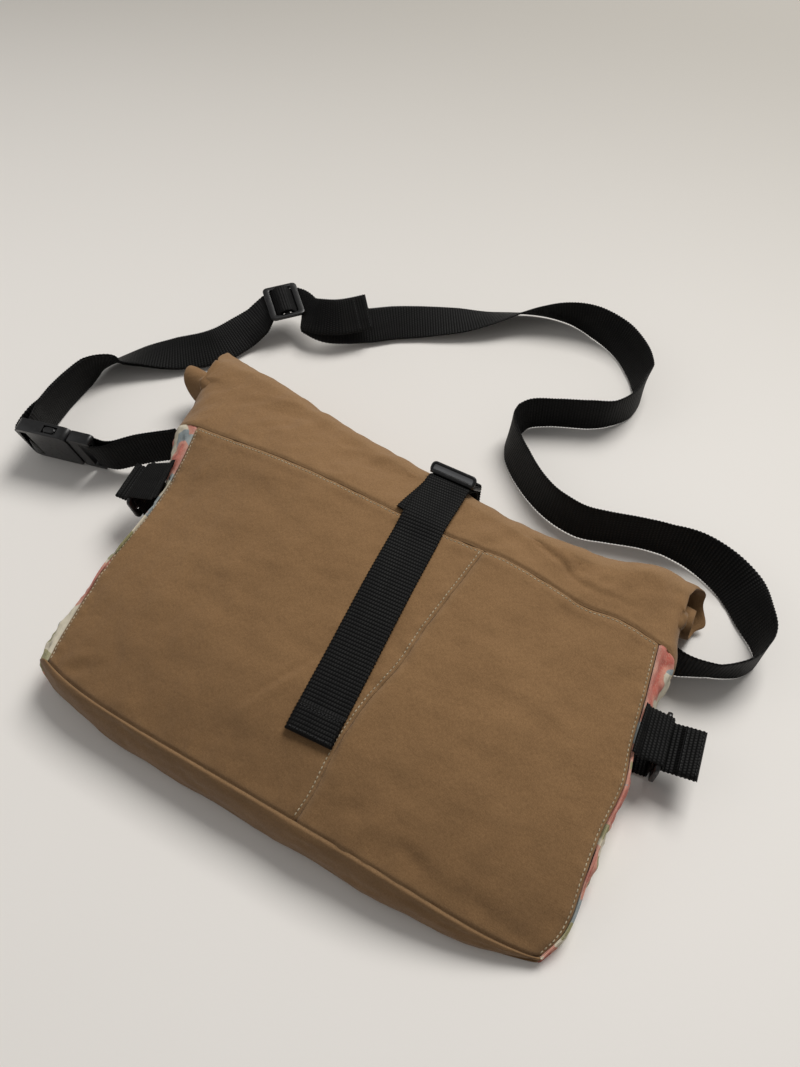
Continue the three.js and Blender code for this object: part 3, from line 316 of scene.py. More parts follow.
class Mixer:
    """Builds one material's nodes, in short calls."""

    def __init__(self, name: str) -> None:
        """Starts a material with one shader and its output."""
        self.material = bpy.data.materials.new(name)
        self.material.use_nodes = True
        self.tree = self.material.node_tree
        self.tree.nodes.clear()
        self.shader = self.tree.nodes.new("ShaderNodeBsdfPrincipled")
        output = self.tree.nodes.new("ShaderNodeOutputMaterial")
        self.tree.links.new(self.shader.outputs[0], output.inputs[0])

    def put(self, socket: Link, value: Socket) -> None:
        """Links a socket to a value, or sets it."""
        if isinstance(value, Link):
            self.tree.links.new(value, socket)
        elif value is not None:
            socket.default_value = value

    def node(self, kind: str, *values: Socket, **settings: object) -> bpy.types.Node:
        """Adds a node of a kind, with its settings by name and its first inputs in order."""
        made = self.tree.nodes.new("ShaderNode" + kind)
        for name, setting in settings.items():
            setattr(made, name, setting)
        for socket, value in zip(made.inputs, values):
            self.put(socket, value)
        return made

    def math(self, operation: str, *values: Socket) -> Link:
        """The result of one sum on numbers."""
        return self.node("Math", *values, operation=operation).outputs[0]

    def range(self, value: Socket, low: float, high: float, start: float = 0.0,
              end: float = 1.0) -> Link:
        """A value's place from low to high, as start to end, smoothly and held within them."""
        made = self.node("MapRange", value, low, high, start, end, interpolation_type="SMOOTHSTEP")
        return made.outputs[0]

    def times(self, first: Socket, second: Socket) -> Link:
        """The product of two numbers."""
        return self.math("MULTIPLY", first, second)

    def sine(self, value: Socket, pace: float) -> Link:
        """The sine of a value times a pace."""
        return self.math("SINE", self.times(value, pace))

    def blend(self, share: Socket, first: Socket, second: Socket) -> Link:
        """Two colours mixed by the share of the second."""
        made = self.node("Mix", data_type="RGBA")
        for index, value in ((0, share), (6, first), (7, second)):
            self.put(made.inputs[index], value)
        return made.outputs[2]

    def wear_and_painted_light(self) -> Link:
        """How rubbed the piece is at a place, from its mesh; on plastic it marks the sunk faces that take
        a painted reflection.
        """
        return self.node("Attribute", attribute_name="wear_and_painted_light").outputs["Fac"]

    def in_object(self) -> Link:
        """The place in the piece's own coordinates, in metres."""
        return self.node("TexCoord").outputs["Object"]

    def weave(self, u: Socket, v: Socket, thread: float) -> Link:
        """Height of a plain weave: the product of a sine along each set of threads."""
        return self.times(self.sine(u, 2 * math.pi / thread), self.sine(v, 2 * math.pi / thread))

    def cloth(self) -> tuple[Link, Link, Link]:
        """The piece's own map, and its two coordinates, all in millimetres."""
        mapped = self.node("UVMap", uv_map="cloth").outputs[0]
        scaled = self.node("VectorMath", mapped, (1000.0, 1000.0, 1000.0), operation="MULTIPLY")
        split = self.node("SeparateXYZ", scaled.outputs[0])
        return scaled.outputs[0], split.outputs[0], split.outputs[1]

    def noise(self, place: Socket, scale: float, detail: float = 2.0,
              rough: float = 0.5) -> Link:
        """Soft noise over a place, from 0 to 1, with its scale, its detail and how rough that is."""
        made = self.node("TexNoise", place)
        for name, value in (("Scale", scale), ("Detail", detail), ("Roughness", rough)):
            made.inputs[name].default_value = value
        return made.outputs[0]

    def stretched(self, place: Socket, along: float, across: float) -> Link:
        """A place scaled by two numbers, for noise that runs in streaks."""
        factors = (along, across, 1.0)
        return self.node("VectorMath", place, factors, operation="MULTIPLY").outputs[0]

    def raised(self, height: Socket, deep: float, below: Socket = None) -> Link:
        """Raises a surface without changing its shape.

        Args:
            height: its height at each place, from 0 to 1.
            deep: millimetres that a height of 1 stands for.
            below: a normal that this one is laid over.

        Returns:
            The normal.
        """
        made = self.node("Bump")
        made.inputs["Strength"].default_value = 1.0
        made.inputs["Distance"].default_value = deep * MM
        self.put(made.inputs["Height"], height)
        self.put(made.inputs["Normal"], below)
        return made.outputs[0]

    def finish(self, colour: Socket, rough: Socket, normal: Socket, specular: float = 0.5,
               sheen: float = 0.0) -> None:
        """Links colour, roughness and normal, and sets the rest straight on the shader."""
        self.put(self.shader.inputs["Base Color"], colour)
        self.put(self.shader.inputs["Roughness"], rough)
        self.put(self.shader.inputs["Normal"], normal)
        self.shader.inputs["Specular IOR Level"].default_value = specular
        self.shader.inputs["Sheen Weight"].default_value = sheen


@dataclass(frozen=True)
class CanvasFinish:
    """Brown cotton canvas: a fine plain weave with slubs, faded unevenly and rubbed at its edges."""

    name: str = "brown_canvas"
    light: tuple = (0.285, 0.163, 0.072, 1.0)
    dark: tuple = (0.208, 0.114, 0.048, 1.0)
    faded: tuple = (0.33, 0.215, 0.115, 1.0)
    # Painted shade: a dark brown laid over the canvas near the base.
    painted_shade: tuple = (0.07, 0.036, 0.014, 1.0)
    thread: float = 0.9

    def material(self) -> Material:
        """Two sets of threads as sines, slubs as noise drawn out along each, and blotches over all."""
        mix = Mixer(self.name)
        place, u, v = mix.cloth()
        slub_u = mix.noise(mix.stretched(place, 0.45, 2.4), 1.0, 3.0)
        slub_v = mix.noise(mix.stretched(place, 2.5, 0.4), 1.0, 3.0)
        slub = mix.times(mix.math("ADD", slub_u, slub_v), 0.5)
        speck = mix.noise(place, 1.5, 3.0, 0.7)
        blotch = mix.noise(place, 0.035, 4.0, 0.6)
        tone = mix.math("ADD", mix.range(slub, 0.4, 0.6, -0.1, 0.6),
                        mix.range(speck, 0.3, 0.7, -0.1, 0.6))
        tone = mix.math("ADD", tone, mix.range(blotch, 0.3, 0.7, -0.14, 0.14))
        colour = mix.blend(tone, self.dark, self.light)
        # Painted shade: the canvas turns darker towards the base, in blotches, where its front slopes away
        # from the light.
        up_bag = mix.node("SeparateXYZ", mix.in_object()).outputs[1]
        painted_shade_mask = mix.times(mix.range(up_bag, -0.1, 0.0, 0.42, 0.0), mix.range(blotch, 0.1, 0.7))
        colour = mix.blend(painted_shade_mask, colour, self.painted_shade)
        rubbed = mix.times(mix.wear_and_painted_light(), mix.range(speck, 0.35, 0.65, 0.25, 1.0))
        colour = mix.blend(rubbed, colour, self.faded)
        height = mix.math("ADD", mix.times(mix.weave(u, v, self.thread), 0.16), slub)
        height = mix.math("ADD", height, mix.times(speck, 0.6))
        creased = mix.raised(mix.noise(place, 0.07, 3.0, 0.55), 1.1)
        normal = mix.raised(height, 0.16, creased)
        mix.finish(colour, 0.88, normal, specular=0.25, sheen=0.12)
        return mix.material


@dataclass(frozen=True)
class PrintFinish:
    """Cream cotton printed with loose coral flowers, olive leaves and grey-blue dabs."""

    name: str = "floral_print"
    cream: tuple = (0.66, 0.60, 0.47, 1.0)
    coral: tuple = (0.50, 0.13, 0.095, 1.0)
    salmon: tuple = (0.62, 0.26, 0.19, 1.0)
    olive: tuple = (0.30, 0.28, 0.13, 1.0)
    slate: tuple = (0.27, 0.32, 0.34, 1.0)
    glaze: tuple = (0.85, 0.81, 0.68, 1.0)
    spacing: float = 34.0
    thread: float = 0.8
    dab: float = 0.42

    def scatter(self, mix: Mixer, place: Socket, spacing: float,
                petals: float) -> tuple[Link, Link]:
        """Petalled dabs, one in each cell of a scattered grid.

        A dab's edge lies at a share of the spacing from its middle, waved by a sine of its angle,
        and the place is first bent by noise so that no two are alike.

        Args:
            mix: the material being made.
            place: the cloth's map in millimetres.
            spacing: between the dabs, in millimetres.
            petals: waves round a dab.

        Returns:
            How far inside a dab a place lies, and the dab's own random number.
        """
        bend = mix.node("VectorMath", mix.node("TexNoise", place).outputs[1], (0.5, 0.5, 0.5),
                        operation="SUBTRACT")
        bend.inputs[0].links[0].from_node.inputs["Scale"].default_value = 1.6 / spacing
        bent = mix.node("VectorMath", bend.outputs[0], (spacing * 0.5,) * 3, place,
                        operation="MULTIPLY_ADD").outputs[0]
        cells = mix.node("TexVoronoi", voronoi_dimensions="2D")
        cells.inputs["Scale"].default_value = 1.0 / spacing
        mix.put(cells.inputs["Vector"], bent)
        away = mix.node("VectorMath", bent, cells.outputs["Position"], operation="SUBTRACT")
        split = mix.node("SeparateXYZ", away.outputs[0])
        turn = mix.math("ARCTAN2", split.outputs[1], split.outputs[0])
        edge = mix.math("MULTIPLY_ADD", mix.sine(turn, petals), 0.07, self.dab)
        inside = mix.math("SUBTRACT", edge, cells.outputs["Distance"])
        return inside, mix.node("SeparateXYZ", cells.outputs["Color"]).outputs[0]

    def material(self) -> Material:
        """Leaves below, flowers above them and small dabs last, all on a plain cream weave."""
        mix = Mixer(self.name)
        place, u, v = mix.cloth()
        moved = mix.node("VectorMath", place, (311.0, 77.0, 0.0)).outputs[0]
        leaf, kind = self.scatter(mix, mix.stretched(moved, 1.0, 0.55), self.spacing * 0.8, 2.0)
        colour = mix.blend(mix.range(leaf, 0.02, 0.05), self.cream,
                           mix.blend(mix.range(kind, 0.45, 0.55), self.olive, self.slate))
        flower, kind = self.scatter(mix, place, self.spacing, 5.0)
        tint = mix.blend(mix.range(flower, 0.06, 0.2), self.salmon, self.coral)
        tint = mix.blend(mix.range(kind, 0.78, 0.82), tint, self.slate)
        colour = mix.blend(mix.range(flower, 0.0, 0.03), colour, tint)
        faint = mix.noise(place, 0.9, 4.0, 0.7)
        colour = mix.blend(mix.range(faint, 0.45, 0.8, 0.0, 0.45), colour, self.cream)
        colour = mix.blend(mix.times(mix.wear_and_painted_light(), 0.3), colour, self.glaze)
        creased = mix.raised(mix.noise(place, 0.08, 3.0, 0.55), 1.2)
        normal = mix.raised(mix.math("ADD", mix.weave(u, v, self.thread), faint), 0.08, creased)
        mix.finish(colour, 0.85, normal, specular=0.25, sheen=0.1)
        return mix.material


@dataclass(frozen=True)
class WebbingFinish:
    """Black ribbed webbing: rows across it, each row a line of beads shifted by half a bead."""

    name: str = "black_webbing"
    # Painted shade: the near-black of the grooves between the ribs.
    gap: tuple = (0.0003, 0.0003, 0.0003, 1.0)
    rib: tuple = (0.0032, 0.0032, 0.0034, 1.0)
    # Wear together with a painted highlight: the grey of the highest rib tops.
    rib_top_wear_and_highlight: tuple = (0.034, 0.034, 0.032, 1.0)
    pitch: float = 2.3
    beads: float = 1.65

    def material(self) -> Material:
        """Height of a row is a half sine along, times a half sine across for its beads."""
        mix = Mixer(self.name)
        place, u, v = mix.cloth()
        row = mix.math("DIVIDE", u, self.pitch)
        along = mix.math("ABSOLUTE", mix.sine(row, math.pi))
        shift = mix.times(mix.math("FLOOR", row), 0.5)
        across = mix.math("ADD", mix.math("DIVIDE", v, self.beads), shift)
        bead = mix.math("ABSOLUTE", mix.sine(across, math.pi))
        height = mix.times(mix.math("POWER", along, 0.55), mix.math("MULTIPLY_ADD", bead, 0.45, 0.55))
        fuzz = mix.noise(place, 2.2, 3.0, 0.7)
        wear_and_highlight_patches = mix.noise(mix.stretched(place, 0.02, 0.12), 1.0, 4.0, 0.6)
        # Painted shade: the colour darkens from the rib tops down into the grooves.
        colour = mix.blend(mix.range(height, 0.35, 1.0), self.gap, self.rib)
        # Wear together with a painted highlight: the highest rib tops turn grey in patches.
        wear_and_painted_light = mix.times(mix.range(height, 0.72, 1.0), mix.times(mix.range(wear_and_highlight_patches, 0.3, 0.7), fuzz))
        colour = mix.blend(wear_and_painted_light, colour, self.rib_top_wear_and_highlight)
        normal = mix.raised(mix.math("MULTIPLY_ADD", fuzz, 0.12, height), 0.5)
        mix.finish(colour, 0.6, normal, specular=0.16)
        return mix.material


@dataclass(frozen=True)
class PlasticFinish:
    """Black moulded plastic: a faint grain, and scuffs that dull it in places."""

    name: str = "black_plastic"
    colour: tuple = (0.005, 0.005, 0.0055, 1.0)
    scuffed: tuple = (0.018, 0.018, 0.019, 1.0)
    # Painted reflection: the light grey of the glossy sunk face of the lip.
    sunk: tuple = (0.23, 0.235, 0.245, 1.0)
    rough: float = 0.34

    def material(self) -> Material:
        """Fine noise for the grain, coarse noise drawn out along X for the scuffs, and a painted
        reflection in light grey on sunk faces.
        """
        mix = Mixer(self.name)
        place = mix.in_object()
        grain = mix.noise(place, 1400.0, 2.0)
        scuff = mix.noise(mix.stretched(place, 1.0, 3.0), 260.0, 4.0, 0.65)
        marked = mix.range(scuff, 0.52, 0.75)
        colour = mix.blend(mix.times(marked, 0.7), self.colour, self.scuffed)
        # Painted reflection: sunk faces, marked in the mesh, turn light grey.
        colour = mix.blend(mix.wear_and_painted_light(), colour, self.sunk)
        rough = mix.math("MULTIPLY_ADD", marked, 0.2, self.rough)
        mix.finish(colour, rough, mix.raised(grain, 0.03), specular=0.5)
        return mix.material


@dataclass(frozen=True)
class ThreadFinish:
    """Twisted sewing thread of one colour."""

    name: str
    colour: tuple
    shade: tuple

    def material(self) -> Material:
        """The twist is a sine along a slant of the thread's own map."""
        mix = Mixer(self.name)
        _, u, v = mix.cloth()
        twist = mix.sine(mix.math("ADD", mix.times(u, 2.5), v), math.pi)
        place = mix.in_object()
        tone = mix.noise(place, 90.0, 2.0)
        colour = mix.blend(mix.range(tone, 0.35, 0.65), self.shade, self.colour)
        mix.finish(colour, 0.7, mix.raised(twist, 0.08), sheen=0.1)
        return mix.material


@dataclass(frozen=True)
class TableFinish:
    """Plain pale tabletop with a faint unevenness, and a painted light falloff that dims its far side."""

    name: str = "pale_table"
    light: tuple = (0.87, 0.845, 0.815, 1.0)
    dark: tuple = (0.84, 0.815, 0.78, 1.0)
    # Painted light falloff: the dim colour of the table's far side.
    far: tuple = (0.43, 0.41, 0.375, 1.0)

    def material(self) -> Material:
        """Two near colours mixed by broad noise, then a dimmer one by the distance along Y, as a painted
        light falloff.
        """
        mix = Mixer(self.name)
        place = mix.in_object()
        broad = mix.noise(place, 3.0, 3.0)
        # Painted light falloff: darker with the distance along Y.
        away = mix.range(mix.node("SeparateXYZ", place).outputs[1], -0.1, 1.15)
        colour = mix.blend(away, mix.blend(broad, self.dark, self.light), self.far)
        mix.finish(colour, 0.6, mix.raised(mix.noise(place, 300.0, 2.0), 0.02), specular=0.3)
        return mix.material


# The sewn bag


@dataclass(frozen=True)
class Fold:
    """A ridge, or a crease where its height is below 0, on the cloth.

    Args:
        u, v: its middle in millimetres.
        reach: half its length.
        width: half its breadth.
        turn: angle of its length from the u axis, in degrees.
        height: how far it stands out at its middle.
    """

    u: float
    v: float
    reach: float
    width: float
    turn: float
    height: float

    def relief(self, u: Array, v: Array) -> Array:
        """Height at each place: a bell along the fold times a bell across it."""
        c, s = math.cos(math.radians(self.turn)), math.sin(math.radians(self.turn))
        along = (u - self.u) * c + (v - self.v) * s
        across = (v - self.v) * c - (u - self.u) * s
        return self.height * hump(along, self.reach) * hump(across, self.width)


def stitched_edge(distance: Array, along: Array, seed: int) -> Array:
    """Relief of a topstitched edge: turned under at the seam, sunk at the stitches, full beyond them.

    Bells of the distance from the seam, and past the stitches a pucker that waves along the seam.
    """
    pucker = ripples(along, 0.0 * along, 11.0, seed)
    return (-1.1 * hump(distance, 0.9) - 0.34 * hump(distance - 2.2, 0.55)
            + 0.35 * hump(distance - 5.0, 2.6) + 0.17 * pucker * hump(distance - 3.0, 5.0))


def plain_edge(distance: Array, along: Array, seed: int) -> Array:
    """Relief of a seam without topstitching: turned under, with a slight pucker."""
    pucker = ripples(along, 0.0 * along, 14.0, seed)
    return -1.5 * hump(distance, 1.5) + 0.2 * pucker * hump(distance, 6.0)


@dataclass
class BagForm:
    """Sizes of the sewn bag and its smooth faces, before seams and folds.

    Across runs from -1 to 1 between the side seams, and up from 0 to 1 between base and top seam.
    Each table starts with a place: up the bag in front_rows, side_rows and divider_rows, across it
    in crest_rows and seam_rows, and turns from the crest in end_rows. Then come five heights from
    left to right, both side seams and both sides' bulges, the slanted seam's place, the crest's
    reach and height, the top seam's rise in millimetres, and how far the tube's edges stand out.
    """

    width: float = 326.0
    height: float = 180.0
    depth: float = 70.0
    cloth: float = 1.6
    top_length: float = 45.0
    roll_radius: float = 20.0
    roll_turns: float = 1.3
    flat_tube: float = 3.2
    back_rise: float = 4.0
    roll_floor: float = 2.2
    base_bow: float = 8.0
    back_bow: float = 14.0
    base_bulge: float = 5.0
    flap: float = 12.0
    flap_turn: float = 0.17
    inner_flap: float = 9.0
    back_short: float = 14.0
    lift_start: float = 0.85
    front_rows: Rows = (
        (0.0, 0.47, 0.46, 0.45, 0.4, 0.09), (0.25, 0.56, 0.64, 0.65, 0.55, 0.27),
        (0.5, 0.7, 0.78, 0.76, 0.66, 0.38), (0.75, 0.75, 0.92, 0.87, 0.73, 0.5),
        (1.0, 0.96, 1.03, 0.93, 0.8, 0.6),
    )
    side_rows: Rows = (
        (0.0, -1.012, 1.015, 0.07, 0.0), (0.1, -1.036, 1.055, 0.065, 0.005),
        (0.26, -1.058, 1.047, 0.03, 0.012), (0.39, -1.063, 1.043, 0.005, 0.015),
        (0.53, -1.051, 1.052, -0.01, 0.01), (0.66, -1.059, 1.026, 0.0, 0.015),
        (0.82, -1.074, 1.005, 0.07, 0.04), (1.0, -1.098, 0.978, 0.165, 0.09),
    )
    crest_rows: Rows = (
        (-1.25, 1.36, 0.84), (-1.0, 1.42, 0.93), (-0.6, 1.12, 0.92), (-0.3, 0.94, 0.87),
        (0.1, 0.73, 0.86), (0.35, 0.62, 0.81), (0.6, 0.66, 0.75), (0.75, 0.75, 0.71),
        (0.9, 0.93, 0.69), (1.0, 0.95, 0.6), (1.15, 0.7, 0.45),
    )
    end_rows: Rows = (
        (0.0, 1.2, 0.35), (0.1, 1.5, 0.55), (0.2, 1.75, 1.0), (0.3, 1.6, 1.1), (0.42, 1.6, 1.5),
        (0.5, 1.7, 1.15), (0.85, 2.7, 0.95), (1.3, 2.6, 0.9),
    )
    seam_rows: Rows = (
        (-1.0, 0.5), (-0.6, 0.0), (0.1, 0.0), (0.28, 1.5), (0.4, 3.6), (0.6, 1.2), (0.72, -1.0),
        (0.85, 2.8), (1.0, 0.5),
    )
    divider_rows: Rows = (
        (0.0, 0.144), (0.2, 0.15), (0.5, 0.194), (0.75, 0.251), (1.0, 0.318),
    )

    def side(self, index: int, up: Array) -> Array:
        """One column of the side seams' table, in millimetres."""
        return column(self.side_rows, index, up) * self.width / 2

    def across_at(self, x: Array, up: Array) -> Array:
        """Place across the front, from -1 to 1, of a distance across the bag."""
        left, right = self.side(1, up), self.side(2, up)
        return 2 * (x - left) / (right - left) - 1

    def front_height(self, across: Array, up: Array) -> Array:
        """Height of the front over the table: a smooth curve across five smooth curves up the bag."""
        across, up = np.broadcast_arrays(across, up)
        columns = np.stack([column(self.front_rows, k, up) for k in range(1, 6)])
        return smooth_between(np.linspace(-1, 1, 5), columns, across) * self.depth

    def front(self, across: Array, up: Array) -> Array:
        """Point of the front: straight across between the side seams, bowed out at the base."""
        across, up = np.broadcast_arrays(across, up)
        bow = -self.base_bow * (1 - np.abs(across) ** 6)
        top = self.height + column(self.seam_rows, 1, across) * eased((up - 0.7) / 0.3)
        x = between(self.side(1, up), self.side(2, up), (across + 1) / 2)
        return np.stack([x, between(bow, top, up), self.front_height(across, up)], -1)

    def back(self, across: Array, up: Array) -> Array:
        """Point of the back, flat on the table and lifted by a square at its upper edge."""
        across, up = np.broadcast_arrays(across, up)
        bow = -self.back_bow * (1 - (0.8 + 0.2 * across) * np.abs(across) ** 4)
        lift = np.clip((up - self.lift_start) / (1 - self.lift_start), 0, 1)
        x = between(self.side(1, up), self.side(2, up), (across + 1) / 2)
        return np.stack([x, between(bow, self.height - self.back_short, up), self.back_rise * lift**2], -1)

    def gusset(self, sign: int, angle: Array, up: Array) -> Array:
        """Point of a side: half an ellipse from its front seam to its back seam.

        Args:
            sign: -1 for the left side, 1 for the right one.
            angle: place round the ellipse, from 0 at the front seam to pi at the back seam.
            up: the place up the bag.

        Returns:
            The points.
        """
        angle, up = np.broadcast_arrays(angle, up)
        seam = np.full(up.shape, float(sign))
        front, back = self.front(seam, up), self.back(seam, up)
        point = (front + back) / 2 + (front - back) / 2 * np.cos(angle)[..., None]
        point[..., 0] += sign * self.side(3 if sign < 0 else 4, up) * np.sin(angle)
        return point

    def crest(self, across: Array) -> tuple[Array, Array, Array]:
        """Middle of the roll, its height over the table and half its height, at places across."""
        half = (column(self.crest_rows, 2, across) * self.depth - self.roll_floor) / 2
        past = column(self.crest_rows, 1, across) * self.top_length
        return self.height + past, self.roll_floor + half, half

    def rolled(self, across: Array, x: Array, turn: Array, out: float) -> Array:
        """Point of the roll: an ellipse that tightens and settles as it goes round from the crest.

        Args:
            across, x: the place across, and the same in millimetres.
            turn: turns from the crest.
            out: millimetres out of the middle of the flattened tube.

        Returns:
            The points.
        """
        y, z, half = self.crest(across)
        angle = math.pi / 2 - turn * 2 * math.pi
        shrink = 1 - 0.45 * turn
        breadth = self.roll_radius * shrink - self.flat_tube / 2 + out
        height = half * shrink - self.flat_tube / 2 + out
        settle = (1 - shrink) * half * 0.9
        return np.stack(np.broadcast_arrays(x, y + breadth * np.cos(angle),
                                            z - settle + height * np.sin(angle)), -1)

    def rising_front(self, across: Array, share: Array) -> Array:
        """Point of the top's front wall, at a share of the way from the top seam to the crest."""
        across, share = np.broadcast_arrays(across, share)
        low = self.front(across, np.ones(across.shape))
        high = self.rolled(across, low[..., 0], np.zeros(across.shape), self.flat_tube / 2)
        return np.stack([low[..., 0], between(low[..., 1], high[..., 1], share),
                         between(low[..., 2], high[..., 2], eased(share))], -1)

    def rising_back(self, across: Array, share: Array) -> Array:
        """Point of the top's back wall: along the table, then up before the roll.

        Args:
            across: the place across.
            share: from the back panel's edge (0) to the crest (1).

        Returns:
            The points.
        """
        across, share = np.broadcast_arrays(across, share)
        low = self.back(across, np.ones(across.shape))
        high = self.rolled(across, low[..., 0], np.zeros(across.shape), -self.flat_tube / 2)
        near = self.crest(across)[0] - self.roll_radius - 2 * self.flat_tube
        reach, lying = 1 - (1 - share) ** 2, 0.75
        early = share < lying
        y = np.where(early, between(low[..., 1], near, share / lying),
                     between(near, high[..., 1], (share - lying) * 4))
        z = between(low[..., 2], high[..., 2], np.where(early, reach * 0.8 * share / lying, reach))
        return np.stack([low[..., 0], y, z], -1)

    def skin_height(self, x: Array, y: Array) -> Array:
        """Height of the bag's upper face, seen from above, up to the crest.

        Args:
            x, y: the place in millimetres.

        Returns:
            The height over the table.
        """
        across = np.clip(self.across_at(x, np.ones(np.shape(x))), -1, 1)
        up = np.clip(y / self.height, 0, 1)
        place = np.clip(self.across_at(x, up), -1, 1)
        share_up = np.clip((y + self.base_bow) / (self.height + self.base_bow), 0, 1)
        crest_y, crest_z, half = self.crest(across)
        share = np.clip((y - self.height) / (crest_y - self.height), 0, 1)
        over = between(self.front_height(across, np.ones(np.shape(x))), crest_z + half, eased(share))
        return np.where(y < self.height, self.front_height(place, share_up), over)


FaceOf = Callable[[Array, Array], Array]


def lifted(face: FaceOf, u: Array, v: Array, relief: Array) -> tuple[Array, Array]:
    """Points of a face moved out by a relief along its normal, which is its two slopes crossed."""
    step = 2e-3
    along_u = face(u + step, v) - face(u - step, v)
    along_v = face(u, v + step) - face(u, v - step)
    normal = unit(np.cross(along_u, along_v))
    return face(u, v) + normal * relief[..., None], normal


@dataclass
class CanvasBody:
    """The front in two panels, the back and the base, sewn of brown canvas."""

    form: BagForm
    canvas: Material
    columns: int = 150
    rows: int = 170
    base_wide: float = 36.0
    front_folds: tuple[Fold, ...] = (
        Fold(-24, 53, 25, 2.2, 59, -0.9), Fold(-20, 51, 25, 3.4, 59, 0.6),
        Fold(50, 11, 12, 6, 10, -1.7), Fold(63, 14, 10, 6, 70, 1.3), Fold(88, 6, 11, 5, -10, -1.4),
        Fold(131, 3, 13, 6, 0, -1.8), Fold(116, 28, 28, 7, 82, 1.2), Fold(103, 24, 24, 7, 84, -0.9),
        Fold(-150, 8, 18, 4, 38, 1.1), Fold(-140, 5, 18, 4, 38, -0.9), Fold(-118, 164, 24, 5, 8, 0.6),
        Fold(-60, 120, 60, 30, 20, 1.2), Fold(95, 110, 60, 28, -60, 1.3),
        Fold(150, 150, 16, 6, 40, -0.9),
        Fold(-100, 30, 46, 11, 18, -0.9), Fold(-40, 14, 40, 7, 4, -0.8),
    )

    def front_relief(self, across: Array, up: Array) -> Array:
        """Seams, folds and unevenness of the front.

        Folds and ripples fade out toward the seams, and each seam adds its own edge.

        Args:
            across, up: the place on the front.

        Returns:
            Millimetres out of the smooth face.
        """
        form, point = self.form, self.form.front(across, up)
        x, y = point[..., 0], point[..., 1]
        wide = (form.side(2, up) - form.side(1, up)) / 2
        above, below = (1 - up) * form.height, up * form.height
        relief = sum(fold.relief(x, y) for fold in self.front_folds)
        relief = relief + 0.32 * ripples(x, y, 46.0, 3) + 0.1 * ripples(x, y, 13.0, 4)
        inside = eased((np.minimum(across + 1, 1 - across) * wide - 1) / 12)
        relief = relief * inside * eased(above / 10) * eased(below / 8)
        relief = relief + stitched_edge((across + 1) * wide, y, 11)
        relief = relief + stitched_edge((1 - across) * wide, y, 12)
        relief = relief + stitched_edge(above, x, 13) + plain_edge(below, x, 14)
        off_seam = (column(form.divider_rows, 1, up) - across) * wide
        return relief + np.where(off_seam >= 0, stitched_edge(off_seam, y, 15),
                                 0.8 * plain_edge(-off_seam, y, 16))

    def front_panel(self, name: str, node: str, left: bool) -> None:
        """Builds one front panel, from its side seam to the slanted seam.

        Args:
            name, node: the piece's name, and the node that it stands for.
            left: whether it is the left one.
        """
        up = crowded(self.rows)[:, None]
        seam = column(self.form.divider_rows, 1, up)
        share = crowded(self.columns if left else self.columns * 3 // 4)[None]
        across = between(-1.0, seam, share) if left else between(seam, 1.0, share)
        across, up = np.broadcast_arrays(across, up)
        inside = np.clip(across, -0.9985, 0.9985), np.clip(up, 0.001, 0.999)
        grid, _ = lifted(self.form.front, *inside, self.front_relief(across, up))
        cloth = self.form.front(across, up)[..., :2]
        wide = self.form.width / 2
        edge = np.minimum.reduce([(across + 1) * wide, (1 - across) * wide,
                                  (1 - up) * self.form.height, up * self.form.height,
                                  np.abs(seam - across) * wide])
        skin = Skin()
        skin.add_wall(grid, cloth, self.form.cloth, wear_and_painted_light=0.55 * np.exp(-edge / 1.6))
        finished(skin.build(name), self.canvas, Slot.CANVAS, node)

    def back_panel(self) -> None:
        """The wall that the bag lies on, turned under at its seams."""
        up, across = crowded(70)[:, None], -np.linspace(-1, 1, 120)[None]
        across, up = np.broadcast_arrays(across, up)
        grid = self.form.back(across, up)
        cloth = grid[..., :2].copy()
        edge = np.minimum((1 - np.abs(across)) * self.form.width / 2, up * self.form.height)
        grid[..., 2] += 0.05 + 1.3 * hump(edge, 2.0)
        skin = Skin()
        skin.add_wall(grid, cloth, self.form.cloth, wear_and_painted_light=0.5 * np.exp(-edge / 2))
        finished(skin.build("canvas_back"), self.canvas, Slot.CANVAS, "back_panel")

    def base_panel(self) -> None:
        """The panel below the front: a patch between its four seams, bulged out between them."""
        form, zero = self.form, np.zeros(1)
        u, v = np.linspace(0, 1, 260)[None, :], crowded(50)[::-1][:, None]
        across, down = 2 * u - 1, v * math.pi
        front, back = form.front(across, zero), form.back(across, zero)
        left, right = form.gusset(-1, down, zero), form.gusset(1, down, zero)
        corner = [form.front(np.array([[s]]), zero) for s in (-1.0, 1.0)]
        corner += [form.back(np.array([[s]]), zero) for s in (-1.0, 1.0)]
        u3, v3 = u[..., None], v[..., None]
        plain = between(between(corner[0], corner[1], u3), between(corner[2], corner[3], u3), v3)
        grid = between(front, back, v3) + between(left, right, u3) - plain
        u, v = np.broadcast_arrays(u, v)
        x = grid[..., 0]
        grid[..., 1] -= form.base_bulge * np.sin(math.pi * v) * (1 - (2 * u - 1) ** 6)
        edge = np.minimum(v, 1 - v) * self.base_wide
        soft = 0.4 * ripples(0.5 * x, 30 * v, 30.0, 21) + 0.1 * ripples(x, 60 * v, 14.0, 22)
        relief = soft * eased(edge / 8) - 1.3 * hump(edge, 1.3)
        grid = grid + facing(grid) * relief[..., None]
        grid[..., 2] = np.maximum(grid[..., 2], 0.05)
        cloth = np.stack([x, self.base_wide * v], -1)
        skin = Skin()
        skin.add_wall(grid, cloth, form.cloth, wear_and_painted_light=0.7 * np.exp(-edge / 1.8))
        finished(skin.build("canvas_base"), self.canvas, Slot.CANVAS, "base_panel")

    def build(self) -> None:
        """Builds the four canvas panels of the body."""
        self.front_panel("canvas_front_left", "front_panel_left", True)
        self.front_panel("canvas_front_right", "front_panel_right", False)
        self.back_panel()
        self.base_panel()


